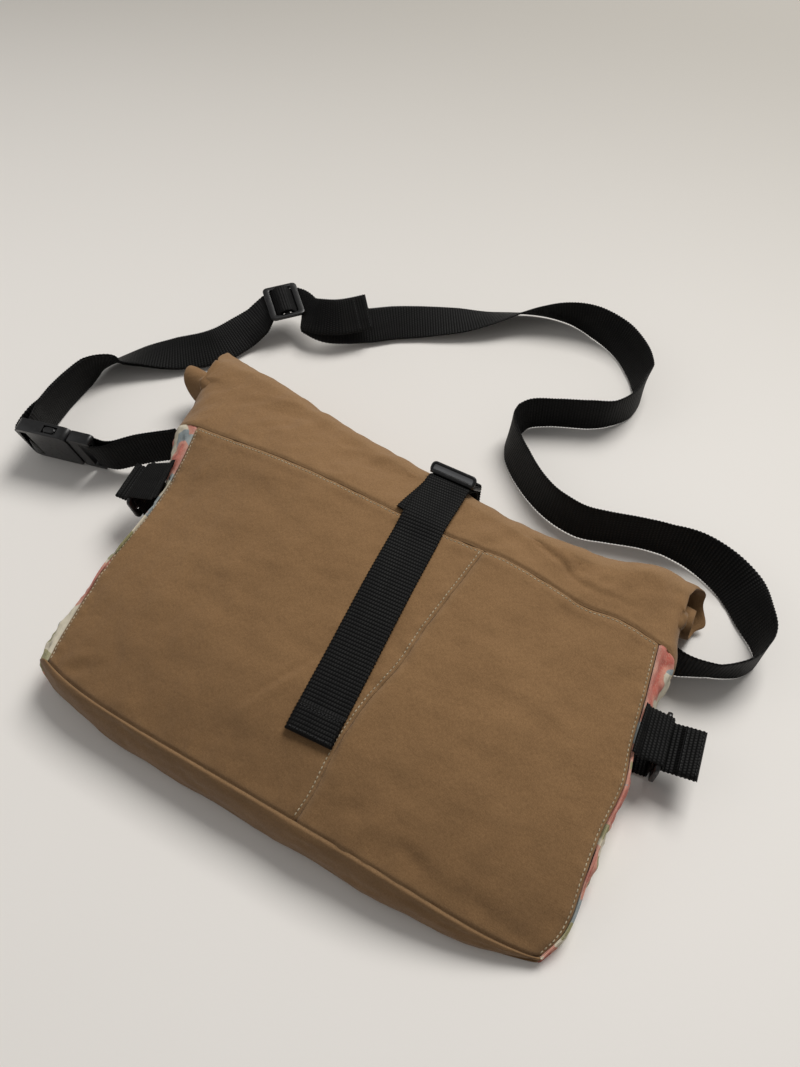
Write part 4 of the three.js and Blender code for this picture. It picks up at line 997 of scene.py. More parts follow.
@dataclass
class PrintGussets:
    """The two side panels of printed cotton."""

    form: BagForm
    print: Material
    right_shift: float = 168.0  # of the print's map, so that the sides differ
    roundness: float = 1.25  # length round a side over its depth

    def build(self) -> None:
        """Each side is half an ellipse round, with folds that run along the bag."""
        for name, sign in (("left", -1), ("right", 1)):
            up, angle = crowded(130)[:, None], crowded(64)[None] * math.pi
            if sign < 0:
                angle = angle[:, ::-1]
            angle, up = np.broadcast_arrays(angle, up)
            grid = self.form.gusset(sign, angle, up)
            y = grid[..., 1]
            deep = grid[..., 2].max(1, keepdims=True)
            down = angle / math.pi * self.roundness * deep
            edge = np.minimum(angle, math.pi - angle) / math.pi * self.roundness * deep
            relief = 0.7 * ripples(y * 0.5, down, 15.0, 30 + sign)
            relief = relief + 0.25 * ripples(y, down, 7.0, 32 + sign)
            relief = relief * eased(edge / 7) - 0.9 * hump(edge, 1.4)
            relief = relief - 0.9 * hump((1 - up) * self.form.height, 1.4)
            grid = grid + facing(grid) * relief[..., None]
            grid[..., 2] = np.maximum(grid[..., 2], 0.05)
            skin, cloth = Skin(), np.stack([y, down + (self.right_shift if sign > 0 else 0.0)], -1)
            skin.add_wall(grid, cloth, self.form.cloth, wear_and_painted_light=np.exp(-edge / 2))
            finished(skin.build(f"print_side_{name}"), self.print, Slot.PRINT, f"side_gusset_{name}")


@dataclass
class RolledTop:
    """The upper band and the flattened tube that it goes on as, rolled over to the back."""

    form: BagForm
    canvas: Material
    across_steps: int = 200
    side_steps: int = 26
    rise_steps: int = 40
    roll_steps: int = 84
    folds: tuple[Fold, ...] = (
        Fold(100, 22, 14, 6, 74, -3.0), Fold(112, 22, 15, 5.5, 80, 1.7), Fold(88, 24, 14, 5, 72, 1.3),
        Fold(81, 20, 22, 2.2, -17, -1.3), Fold(82, 25, 22, 3.2, -17, 1.0),
        Fold(118, 12.5, 19, 2.6, -3, -0.7), Fold(118, 17.5, 19, 3.2, -3, 0.6),
        Fold(145, 26, 18, 7, 80, 1.5), Fold(156, 24, 18, 5, 80, -1.5), Fold(40, 16, 16, 6, 60, 1.1),
        Fold(56, 20, 16, 5, 66, -0.9), Fold(-140, 50, 20, 4, 12, 1.4), Fold(-132, 40, 20, 4, 12, -0.9),
        Fold(-60, 38, 18, 4, 14, 1.2), Fold(-50, 30, 20, 4, 14, -0.7), Fold(-110, 26, 40, 14, 10, 1.0),
        Fold(-30, 24, 18, 8, 70, -1.0),
    )

    def ends(self, turn: Array) -> tuple[Array, Array]:
        """How far the tube's folded edges stand out at the left and at the right."""
        left = self.form.side(3, np.ones(turn.shape)) * column(self.form.end_rows, 1, turn)
        right = self.form.side(4, np.ones(turn.shape)) * column(self.form.end_rows, 2, turn)
        return left, right

    def ring(self, front: Array, back: Array, left: Array, right: Array) -> Array:
        """Rings of front, right side, back and left side, in turn; the sides are half ellipses.

        Args:
            front, back: the two walls, rings by places across.
            left, right: how far each side stands out, one for each ring.

        Returns:
            The rings' points.
        """
        angle = math.pi * np.arange(1, self.side_steps) / self.side_steps
        parts = [front]
        for f, b, bulge in ((front[:, -1], back[:, -1], right), (back[:, 0], front[:, 0], -left)):
            middle, half = (f + b)[:, None] / 2, (f - b)[:, None] / 2
            side = middle + half * np.cos(angle)[None, :, None]
            side[..., 0] += bulge[:, None] * np.sin(angle)
            parts.append(side)
        return np.concatenate([parts[0], parts[1], back[:, ::-1], parts[2]], 1)

    def rings(self) -> tuple[Array, Array]:
        """Draws the outer face, before folds, as rings from the top seam to the hem.

        Returns:
            The rings, and how far each lies past the crest: a share below 0, and then turns.
        """
        form = self.form
        across = np.linspace(-1, 1, self.across_steps + 1)[None]
        share = crowded(self.rise_steps + 1, 0.4)[:-1, None]
        rise_front, rise_back = form.rising_front(across, share), form.rising_back(across, share)
        one = np.ones(len(share))
        bulges = [form.side(k + 2, one) * between(1.0, form.end_rows[0][k], share[:, 0])
                  for k in (1, 2)]
        rising = self.ring(rise_front, rise_back, *bulges)
        turn = np.linspace(0, form.roll_turns, self.roll_steps + 1)[:, None]
        x = form.front(across, np.ones((1, 1)))[..., 0]
        walls = [form.rolled(across, x, turn, side * form.flat_tube / 2) for side in (1, -1)]
        left, right = self.ends(turn[:, 0])
        rolled = self.ring(walls[0], walls[1], left, right)
        flap = form.flap * hump(turn[:, 0] - form.flap_turn, 0.08)
        flap = flap + form.inner_flap * hump(turn[:, 0] - 1.0, 0.35)
        angle = math.pi * np.arange(1, self.side_steps) / self.side_steps
        rolled[:, -(self.side_steps - 1):, 1] += flap[:, None] * np.sin(angle)
        past = np.concatenate([share[:, 0] - 1, turn[:, 0]])
        return np.concatenate([rising, rolled]), past

    def relief(self, x: Array, w: Array, past: Array) -> Array:
        """Folds on the front, unevenness all round, the seam at the foot and the hem's stitch line.

        Args:
            x: place across the bag.
            w: millimetres from the top seam, along the cloth.
            past: how far each ring lies past the crest.

        Returns:
            Millimetres out of the smooth rings.
        """
        count = x.shape[1]
        seat = np.arange(count)[None]
        fronted = eased((seat + 1) / 14) * eased((self.across_steps - seat) / 14) * np.ones_like(w)
        fronted = np.where(seat <= self.across_steps, fronted, 0.0)
        relief = sum(fold.relief(x, w) for fold in self.folds) * fronted
        soft = 0.34 * ripples(x, w * 0.7, 34.0, 41) + 0.2 * ripples(x, w, 14.0, 42)
        flat = eased(past / 0.3)[:, None]
        relief = relief + soft * between(1.0, 0.45, flat) * eased(w / 9)
        wave = ripples(np.arange(count) * 1.6, 0 * x[0], 30.0, 43)[None]
        relief = relief + plain_edge(w, np.broadcast_to(wave * 5, w.shape), 44) * 0.9
        return relief - 0.25 * hump(w[-1] - w - 9, 0.8)

    def build(self) -> None:
        """Walls with folds on the front and round the roll, hollow up to the crest and capped beyond."""
        form = self.form
        rings, past = self.rings()
        count = rings.shape[1]
        steps = np.linalg.norm(np.diff(rings, axis=0), axis=-1)
        w = np.concatenate([np.zeros((1, count)), np.cumsum(steps, 0)])
        relief = self.relief(rings[..., 0], w, past)
        outer = rings + facing(rings, closed=True) * relief[..., None]
        lowest = np.where(outer[..., 1] < form.height - 4, 0.05, 0.4)
        outer[..., 2] = np.maximum(outer[..., 2], lowest)
        hollow = self.rise_steps + 1
        inner = (outer - facing(outer, closed=True) * form.cloth)[:hollow]
        around = distances(rings[0])
        around = np.append(around, around[-1] + form.cloth)[None]
        cloth = np.stack([np.broadcast_to(around, (len(w), count + 1)),
                          np.concatenate([w, w[:, :1]], 1)], -1)
        skin = Skin()
        wear_and_painted_light = np.maximum(0.5 * np.exp(-w / 1.6), 0.3 * hump(past[:, None] - 0.04, 0.08))
        top = skin.add(outer, cloth, closed=True, wear_and_painted_light=wear_and_painted_light)
        under = skin.add(inner[:, ::-1], cloth[:hollow, ::-1], closed=True)[:, ::-1]
        closing = np.concatenate([np.arange(count), [0]])
        skin.join(np.stack([under[0][closing], top[0][closing]]), cloth[[0, 0]])
        start = self.across_steps + 1 + self.side_steps + self.across_steps + self.side_steps // 2
        order = (start + np.arange(count)) % count
        skin.cap(top[-1][order], True, cloth[-1][order])
        skin.cap(under[-1][order], False, cloth[hollow - 1][order])
        finished(skin.build("canvas_rolled_top"), self.canvas, Slot.CANVAS, "rolled_top")


# Thread


@dataclass
class ThreadRun:
    """Stitches of one thread, each a short capsule whose ends dip into the cloth."""

    length: float = 2.0
    thick: float = 0.74
    pitch: float = 2.75

    def along(self, line: Array, normals: Array) -> tuple[Array, Array, Array]:
        """Spaces the stitches along a line.

        Args:
            line: the line's points.
            normals: the cloth's normal at each of them.

        Returns:
            Middles, headings and normals of the stitches.
        """
        run = distances(line)
        at = np.arange(self.pitch * 0.6, run[-1], self.pitch)

        def read(values: Array, where: Array) -> Array:
            """Values read at distances along the line."""
            return np.stack([np.interp(where, run, values[:, k]) for k in range(3)], -1)

        heading = unit(read(line, at + 0.5) - read(line, at - 0.5))
        return read(line, at), heading, unit(read(normals, at))

    def add(self, skin: Skin, line: Array, normals: Array) -> None:
        """Adds the stitches along a line: five rings of six points each, shut at both ends.

        Args:
            skin: what they are added to.
            line, normals: the line's points, and the cloth's normal at each of them.
        """
        middle, heading, normal = self.along(line, normals)
        aside = unit(np.cross(normal, heading))
        shift = np.array([-0.5, -0.36, 0.0, 0.36, 0.5]) * self.length
        size = np.array([0.25, 0.85, 1.0, 0.85, 0.25]) * self.thick / 2
        dip = np.array([-0.2, 0.02, 0.12, 0.02, -0.2])
        turn = np.arange(6) * math.pi / 3
        for m, h, n, a in zip(middle, heading, normal, aside):
            ring = (a * np.cos(turn)[:, None] + n * np.sin(turn)[:, None])[None] * size[:, None, None]
            grid = m + ring + (h * shift[:, None] + n * dip[:, None])[:, None]
            numbers = skin.add(grid[:, ::-1], closed=True)
            skin.cap(numbers[0], False)
            skin.cap(numbers[-1], True)


@dataclass
class Topstitching:
    """Cream stitches beside the seams of the front."""

    body: CanvasBody
    thread: Material
    inset: float = 2.2

    def line(self, across: Array, up: Array) -> tuple[Array, Array]:
        """Points of the front's finished face, and its normals."""
        return lifted(self.body.form.front, across, up, self.body.front_relief(across, up) + 0.1)

    def build(self) -> None:
        """Runs along the left, right, top and slanted seams, a stitch line's inset inside each."""
        form = self.body.form
        up = np.linspace(0.012, 0.988, 500)
        wide = (form.side(2, up) - form.side(1, up)) / 2
        skin, run = Skin(), ThreadRun()
        for across in (-1 + self.inset / wide, 1 - self.inset / wide,
                       column(form.divider_rows, 1, up) - self.inset / wide):
            run.add(skin, *self.line(across, up))
        across = np.linspace(-0.985, 0.985, 900)
        run.add(skin, *self.line(across, np.full(across.shape, 1 - self.inset / form.height)))
        finished(skin.build("topstitching"), self.thread, Slot.CANVAS)


# Webbing


@dataclass
class Route:
    """Middle line of webbing, with its unit directions of width and of the way ahead."""

    middle: Array
    across: Array
    ahead: Array

    @property
    def off(self) -> Array:
        """Unit direction of the thickness: across crossed with ahead."""
        return unit(np.cross(self.across, self.ahead))

    def shifted(self, distance: Array | float) -> "Route":
        """The same route moved along its thickness."""
        return Route(self.middle + self.off * np.reshape(distance, (-1, 1)), self.across, self.ahead)

    def turned_back(self) -> "Route":
        """The same route run the other way."""
        return Route(self.middle[::-1], self.across[::-1], -self.ahead[::-1])

    @staticmethod
    def chain(*routes: "Route") -> "Route":
        """Several routes, one after another."""
        parts = [[getattr(r, name) for r in routes] for name in ("middle", "across", "ahead")]
        return Route(*(np.concatenate(part) for part in parts))

    def settled(self, step: float, soft: float, square: float) -> "Route":
        """The route read at equal steps, with its corners rounded by a bell.

        Args:
            step: between two points.
            soft: width of the bell.
            square: share by which the width is turned square to the way ahead.

        Returns:
            The new route.
        """
        gap = np.linalg.norm(np.diff(self.middle, axis=0), axis=-1)
        keep = np.concatenate([[True], gap > 1e-6])
        middle, across = self.middle[keep], self.across[keep]
        run = distances(middle)
        at = np.linspace(0, run[-1], max(int(run[-1] / step), 4) + 1)
        read = np.stack([np.interp(at, run, values) for values in (*middle.T, *across.T)], -1)
        reach = max(int(3 * soft / step), 1)
        bell = hump(np.arange(-reach, reach + 1) * step, soft)
        ends = (2 * read[0] - read[reach:0:-1], 2 * read[-1] - read[-2:-reach - 2:-1])
        padded = np.concatenate([ends[0], read, ends[1]])
        rounded = np.stack([np.convolve(k, bell / bell.sum(), "valid") for k in padded.T], -1)
        ahead = unit(np.gradient(rounded[:, :3], axis=0))
        across = rounded[:, 3:]
        across = across - square * ahead * np.sum(across * ahead, -1, keepdims=True)
        return Route(rounded[:, :3], unit(across), ahead)


def leaned(middle: Array, ahead: Array, lean: Array) -> Route:
    """A route whose width turns from flat, left of the way ahead (0), to upright (90 degrees)."""
    left = unit(np.cross(UP, ahead))
    angle = np.radians(lean)[:, None]
    across = left * np.cos(angle) + UP * np.sin(angle)
    return Route(middle, unit(across - ahead * np.sum(across * ahead, -1, keepdims=True)), ahead)


def curved(rows: list[tuple[float, float, float, float]], fine: int = 14) -> Route:
    """A smooth route through rows of x, y, lean and z.

    Between two rows it is a cubic whose pace goes with the square root of their distance, so that
    it doesn't swing out at close rows.

    Args:
        rows: x, y, lean in degrees and z of each row.
        fine: points from one row to the next.

    Returns:
        The route.
    """
    table = np.array(rows, float)
    points = table[:, [0, 1, 3]]
    padded = np.concatenate([[2 * points[0] - points[1]], points, [2 * points[-1] - points[-2]]])
    pace = np.linalg.norm(np.diff(padded, axis=0), axis=-1) ** 0.5
    place = np.linspace(0, len(points) - 1, (len(points) - 1) * fine + 1)
    i = np.minimum(place.astype(int), len(points) - 2)
    s = (place - i)[:, None]
    p = [padded[i + k] for k in range(4)]
    d0, d1, d2 = (pace[i + k][:, None] for k in range(3))
    slope_in = ((p[1] - p[0]) / d0 - (p[2] - p[0]) / (d0 + d1) + (p[2] - p[1]) / d1) * d1
    slope_out = ((p[2] - p[1]) / d1 - (p[3] - p[1]) / (d1 + d2) + (p[3] - p[2]) / d2) * d1
    middle = cubic(s, p[1], slope_in, p[2], slope_out)
    lean = np.interp(place, np.arange(len(points)), table[:, 2])
    return leaned(middle, unit(np.gradient(middle, axis=0)), lean)


@dataclass(frozen=True)
class Corner:
    """A corner that tight webbing passes, in a plane.

    Args:
        a, b: its place.
        turn: 1 where the line bends left round it, -1 where it bends right, 0 for a plain point.
        lift: the distance kept from it.
    """

    a: float
    b: float
    turn: int = 0
    lift: float = 0.0


def taut(corners: list[Corner], bend_step: float = math.pi / 20) -> Array:
    """Middle line drawn tight past round corners: rows of a, b and heading.

    The line is straight between two corners, touching the circle round each, and follows the
    circle at each corner.

    Args:
        corners: the corners in turn.
        bend_step: angle of one step round a circle.

    Returns:
        The line.
    """
    headings = []
    for p, q in zip(corners, corners[1:]):
        span = math.hypot(q.a - p.a, q.b - p.b)
        drift = math.asin(max(-1.0, min(1.0, (q.turn * q.lift - p.turn * p.lift) / span)))
        headings.append(math.atan2(q.b - p.b, q.a - p.a) - drift)
    line = []
    for i, corner in enumerate(corners):
        start, end = headings[max(i - 1, 0)], headings[min(i, len(headings) - 1)]
        bend = (end - start + 5 * math.pi) % (2 * math.pi) - math.pi
        steps = 0 if corner.turn == 0 else max(1, math.ceil(abs(bend) / bend_step))
        heading = start + bend * (np.arange(steps + 1) / steps if steps else np.array([0.5]))
        reach = corner.turn * corner.lift
        line.append(np.stack([corner.a + reach * np.sin(heading), corner.b - reach * np.cos(heading),
                              heading], -1))
    return np.concatenate(line)


@dataclass
class Placing:
    """A piece's own frame: its origin and its unit directions of width, length and thickness."""

    origin: Array
    across: Array
    along: Array
    off: Array | None = None

    def __post_init__(self) -> None:
        """The thickness is the width crossed with the length unless it is given."""
        if self.off is None:
            self.off = np.cross(self.across, self.along)

    def at(self, points: Array) -> Array:
        """Points given as across, along and off, in the bag's frame."""
        return self.origin + points @ np.stack([self.across, self.along, self.off])

    def follow(self, line: Array) -> Route:
        """The route of a tight line, whose rows are along, off and heading in this frame."""
        a, b, heading = line.T
        middle = self.origin + self.along * a[:, None] + self.off * b[:, None]
        ahead = self.along * np.cos(heading)[:, None] + self.off * np.sin(heading)[:, None]
        return Route(middle, np.broadcast_to(self.across, middle.shape).copy(), ahead)


@dataclass
class Webbing:
    """Sizes of the black webbing, and the shape of a length of it."""

    width: float = 30.0
    thick: float = 1.6
    clearance: float = 0.3
    pitch: float = 2.3
    scallop: float = 0.28
    rim: tuple[float, ...] = (
        -1.0, -0.985, -0.93, -0.8, -0.55, -0.28, 0.0, 0.28, 0.55, 0.8, 0.93, 0.985,
    )

    @property
    def lift(self) -> float:
        """From a bar to the middle of the webbing on it."""
        return self.thick / 2 + self.clearance

    @property
    def step(self) -> float:
        """Between the middles of two layers."""
        return self.thick + self.clearance

    def ribbon(self, skin: Skin, route: Route, hem: float = 0.0, soft: float = 1.6,
               square: float = 1.0) -> Route:
        """Adds a length of webbing along a route.

        Its outline is flat with rounded edges, its edges swell at each rib, and a hem is a
        doubled end, thicker on the side away from the thickness direction.

        Args:
            skin: what it is added to.
            route: its middle line.
            hem: length of the doubled end at the route's end.
            soft: how far its bends are rounded.
            square: share by which its width is kept square to the way ahead.

        Returns:
            The route as it was laid, in small equal steps.
        """
        laid = route.settled(self.pitch / 4, soft, square)
        run = distances(laid.middle)
        left_over = run[-1] - run
        rim = np.array(self.rim + tuple(-k for k in self.rim))
        side = np.concatenate([np.ones(len(self.rim)), -np.ones(len(self.rim))])
        full = np.abs(rim) ** 9
        height = side * (self.thick / 2) * np.sqrt(np.clip(1 - full**2, 0, 1))
        swell = self.scallop * np.cos(2 * math.pi * run / self.pitch)
        v = rim[None] * (self.width / 2 + swell[:, None] * (np.abs(rim) > 0.9)[None])
        tip = np.minimum(run, left_over)
        blunt = np.sqrt(np.clip(1 - (1 - np.clip(tip / 1.2, 0, 1)) ** 2, 0.05, 1))
        t = height[None] * blunt[:, None]
        doubled = eased((hem - left_over) / 1.4 + 0.5) if hem else 0.0 * run
        t = np.where(side[None] < 0, t - doubled[:, None] * self.step
                     * np.sqrt(np.clip(1 - full, 0, 1)) * blunt[:, None], t)
        grid = (laid.middle[:, None] + laid.across[:, None] * v[..., None]
                + laid.off[:, None] * t[..., None])
        grid[..., 2] = np.maximum(grid[..., 2], 0.1)
        line = np.concatenate([rim, rim[:1]]) * self.width / 2
        cloth = np.stack(np.meshgrid(run, line, indexing="ij"), -1)
        numbers = skin.add(grid, cloth, closed=True)
        for row, outward in ((0, False), (-1, True)):
            order = np.roll(numbers[row], len(self.rim) // 2 - 6)
            skin.cap(order, outward, cloth[row, :-1])
        return laid


@dataclass
class HemStitching:
    """Black stitches across the doubled ends of the webbing."""

    web: Webbing
    thread: Material
    run: ThreadRun = field(default_factory=lambda: ThreadRun(length=1.7, thick=0.55, pitch=2.3))
    skin: Skin = field(default_factory=Skin)

    def across(self, laid: Route, *places: float) -> None:
        """Adds rows of stitches across webbing, on both of its faces.

        Args:
            laid: the webbing's route.
            places: the rows' distances from its end.
        """
        run = distances(laid.middle)
        share = np.linspace(-0.44, 0.44, 30)[:, None]
        for place in places:
            k = int(np.argmin(np.abs(run[-1] - run - place)))
            line = laid.middle[k] + laid.across[k] * self.web.width * share
            for side, reach in ((1.0, self.web.thick / 2), (-1.0, self.web.thick / 2 + self.web.step)):
                out = laid.off[k] * side
                self.run.add(self.skin, line + out * reach, np.broadcast_to(out, line.shape))

    def build(self) -> None:
        """Makes one piece of all the rows."""
        finished(self.skin.build("hem_stitching"), self.thread, Slot.WEBBING)


# Moulded fittings


def outline(half_x: float, half_y: float, round_: float, steps: int = 10) -> Array:
    """Points round a rectangle with round corners, starting at its right side.

    Args:
        half_x, half_y: half its width and height.
        round_: radius of its corners.
        steps: points of a corner.

    Returns:
        The points, anticlockwise.
    """
    angle = np.linspace(0, math.pi / 2, steps)
    corners = []
    for k, (sx, sy) in enumerate(((1, 1), (-1, 1), (-1, -1), (1, -1))):
        turn = angle + k * math.pi / 2
        middle = np.array([sx * (half_x - round_), sy * (half_y - round_)])
        corners.append(middle + round_ * np.stack([np.cos(turn), np.sin(turn)], -1))
    return np.concatenate(corners)


@dataclass
class Moulding:
    """Rounded plastic shapes in a fitting's own frame."""

    placing: Placing
    skin: Skin = field(default_factory=Skin)

    @staticmethod
    def section(square: float) -> tuple[Array, Array]:
        """A squared ellipse of half sizes 1: cosine and sine, each raised to the power square."""
        turn = 2 * math.pi * np.arange(16) / 16
        c, s = np.cos(turn), np.sin(turn)
        return np.sign(c) * np.abs(c) ** square, np.sign(s) * np.abs(s) ** square

    def ring(self, outer: Array, inner: Array, half: float) -> None:
        """A closed frame between two outlines, its section a squared ellipse.

        Args:
            outer, inner: outlines in across and along, point for point.
            half: half its thickness.
        """
        wide, tall = self.section(0.45)
        centre, reach = (outer + inner) / 2, (outer - inner) / 2
        flat = centre[:, None] + reach[:, None] * wide[None, :, None]
        height = np.broadcast_to(half * tall[None], flat.shape[:2])
        points = np.concatenate([flat, height[..., None]], -1)
        self.skin.add(self.placing.at(points)[:, ::-1], closed=True, looped=True)

    def bar(self, reach: float, half_wide: float, half_tall: float) -> None:
        """A straight bar across the middle, its section a squared ellipse, shut at both ends.

        Args:
            reach: how far it goes to either side.
            half_wide, half_tall: half its breadth and its thickness.
        """
        wide, tall = self.section(0.6)
        across = between(-reach, reach, np.linspace(0, 1, 9))[:, None] + 0 * wide
        points = np.stack([across, half_wide * wide + 0 * across, half_tall * tall + 0 * across], -1)
        numbers = self.skin.add(self.placing.at(points)[::-1], closed=True)
        self.skin.cap(numbers[0], False)
        self.skin.cap(numbers[-1], True)

    def stack(self, sections: list[tuple[Array, float]], axes: tuple[int, int, int],
              sunk: int = 0) -> None:
        """A solid through flat outlines at heights, shut at both ends.

        Args:
            sections: an outline and its height, from the back to the front.
            axes: which of across, along and off the outline's two axes and the height lie on.
            sunk: how many of the first outlines belong to a sunk face, which takes a painted reflection in
                light grey.
        """
        points = np.zeros((len(sections), len(sections[0][0]), 3))
        for k, (line, height) in enumerate(sections):
            points[k, :, axes[0]], points[k, :, axes[1]] = line.T
            points[k, :, axes[2]] = height
        # The first outlines, the sunk face, are marked for the painted reflection.
        reflection_rows = (np.arange(len(sections)) < sunk)[:, None] * 1.0
        numbers = self.skin.add(self.placing.at(points), closed=True, wear_and_painted_light=reflection_rows)
        self.skin.cap(numbers[0], False)
        self.skin.cap(numbers[-1], True)


@dataclass
class FittingSizes:
    """Sizes shared by the plastic fittings."""

    web: Webbing
    rim: float = 3.7
    lock_rim: float = 1.3
    full: float = 0.8
    bar: float = 4.0
    depth: float = 3.0
    outer_round: float = 4.0
    inner_round: float = 1.6
    lock_length: float = 21.0
    slider_length: float = 29.0

    @property
    def slot(self) -> float:
        """Half width of a slot for webbing."""
        return self.web.width / 2 + self.web.clearance

    def ladder(self, moulding: Moulding, length: float, rim: float) -> None:
        """Adds a frame round two slots: a ring whose sides are a rim wide, and a bar across its middle."""
        outer = outline(self.slot + rim, length / 2 + self.full, self.outer_round)
        inner = outline(self.slot - self.full / 4, length / 2 - self.bar - self.full, self.inner_round)
        moulding.ring(outer, inner, self.depth / 2)
        moulding.bar(self.slot + rim / 2, (self.bar + self.full) / 2, self.depth / 2)


@dataclass
class SqueezeButtons:
    """The two oval pads on the side-release buckle's edges."""

    half_long: float = 5.0
    half_deep: float = 2.5
    edge: float = 19.0
    middle: float = -3.0

    def build(self, placing: Placing, plastic: Material) -> None:
        """Builds both pads: ovals drawn in toward their outer faces, in the windows of the edges.

        Args:
            placing: the buckle's frame.
            plastic: their finish.
        """
        moulding = Moulding(placing)
        for sign in (1, -1):
            sections = []
            for inset, out in ((0.0, -1.6), (0.0, -0.35), (0.2, 0.0), (0.7, 0.25), (1.5, 0.35)):
                line = outline(self.half_long - inset, self.half_deep - inset, self.half_deep - inset)
                sections.append((line * (1, sign) + (self.middle, 0), sign * (self.edge + out)))
            moulding.stack(sections, (1, 2, 0))
        finished(moulding.skin.build("squeeze_buttons"), plastic, Slot.PLASTIC)


def moulded_copy(node: str, name: str, rounding: float) -> bpy.types.Object:
    """A copy of a plastic node: its triangles merged into flat faces and its edges rounded.

    Args:
        node, name: the node's name and the copy's.
        rounding: millimetres of the edges' rounding.

    Returns:
        The copy, in the scene.
    """
    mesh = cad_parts[node].data.copy()
    mesh.name = name
    shape = bmesh.new()
    shape.from_mesh(mesh)
    bmesh.ops.remove_doubles(shape, verts=shape.verts, dist=2e-6)
    bmesh.ops.dissolve_limit(shape, angle_limit=0.01, verts=shape.verts, edges=shape.edges)
    shape.to_mesh(mesh)
    shape.free()
    mesh.shade_smooth()
    item = bpy.data.objects.new(name, mesh)
    bpy.context.scene.collection.objects.link(item)
    bevel = item.modifiers.new("rounded edges", "BEVEL")
    bevel.width = rounding * MM
    bevel.segments = 3
    bevel.limit_method = "ANGLE"
    bevel.angle_limit = math.radians(32)
    bevel.harden_normals = True
    return item


# Straps


@dataclass
class Strapping:
    """What every strap is made with."""

    form: BagForm
    web: Webbing
    sizes: FittingSizes
    webbing: Material
    plastic: Material
    hems: HemStitching
    slack: float = 0.5

    def on_skin(self, x: Array, y: Array, off: Array, way: float) -> Route:
        """A route on the bag's upper face that runs along Y.

        Args:
            x, y: its places.
            off: room under it at each place.
            way: 1 where it runs up the bag, -1 where it runs down.

        Returns:
            The route.
        """
        half = self.web.width / 2

        def at(dx: float, dy: float) -> Array:
            """Points of the upper face beside the route."""
            return np.stack([x + dx, y + dy, self.form.skin_height(x + dx, y + dy)], -1)

        across = unit(at(half, 0) - at(-half, 0))
        ahead = unit(at(0, 2) - at(0, -2)) * way
        middle = (at(half, 0) + at(-half, 0)) / 2
        middle[:, 2] = np.maximum(middle[:, 2], at(0, 0)[:, 2]) + self.web.lift + off
        return Route(middle, across, ahead)

    def on_roll(self, x: float, turn: Array | float, out: float) -> Array:
        """Points out of the roll's outer wall."""
        across = self.form.across_at(np.array([x]), np.ones(1))
        return self.form.rolled(across, np.array([x]), np.atleast_1d(turn), self.form.flat_tube / 2 + out)


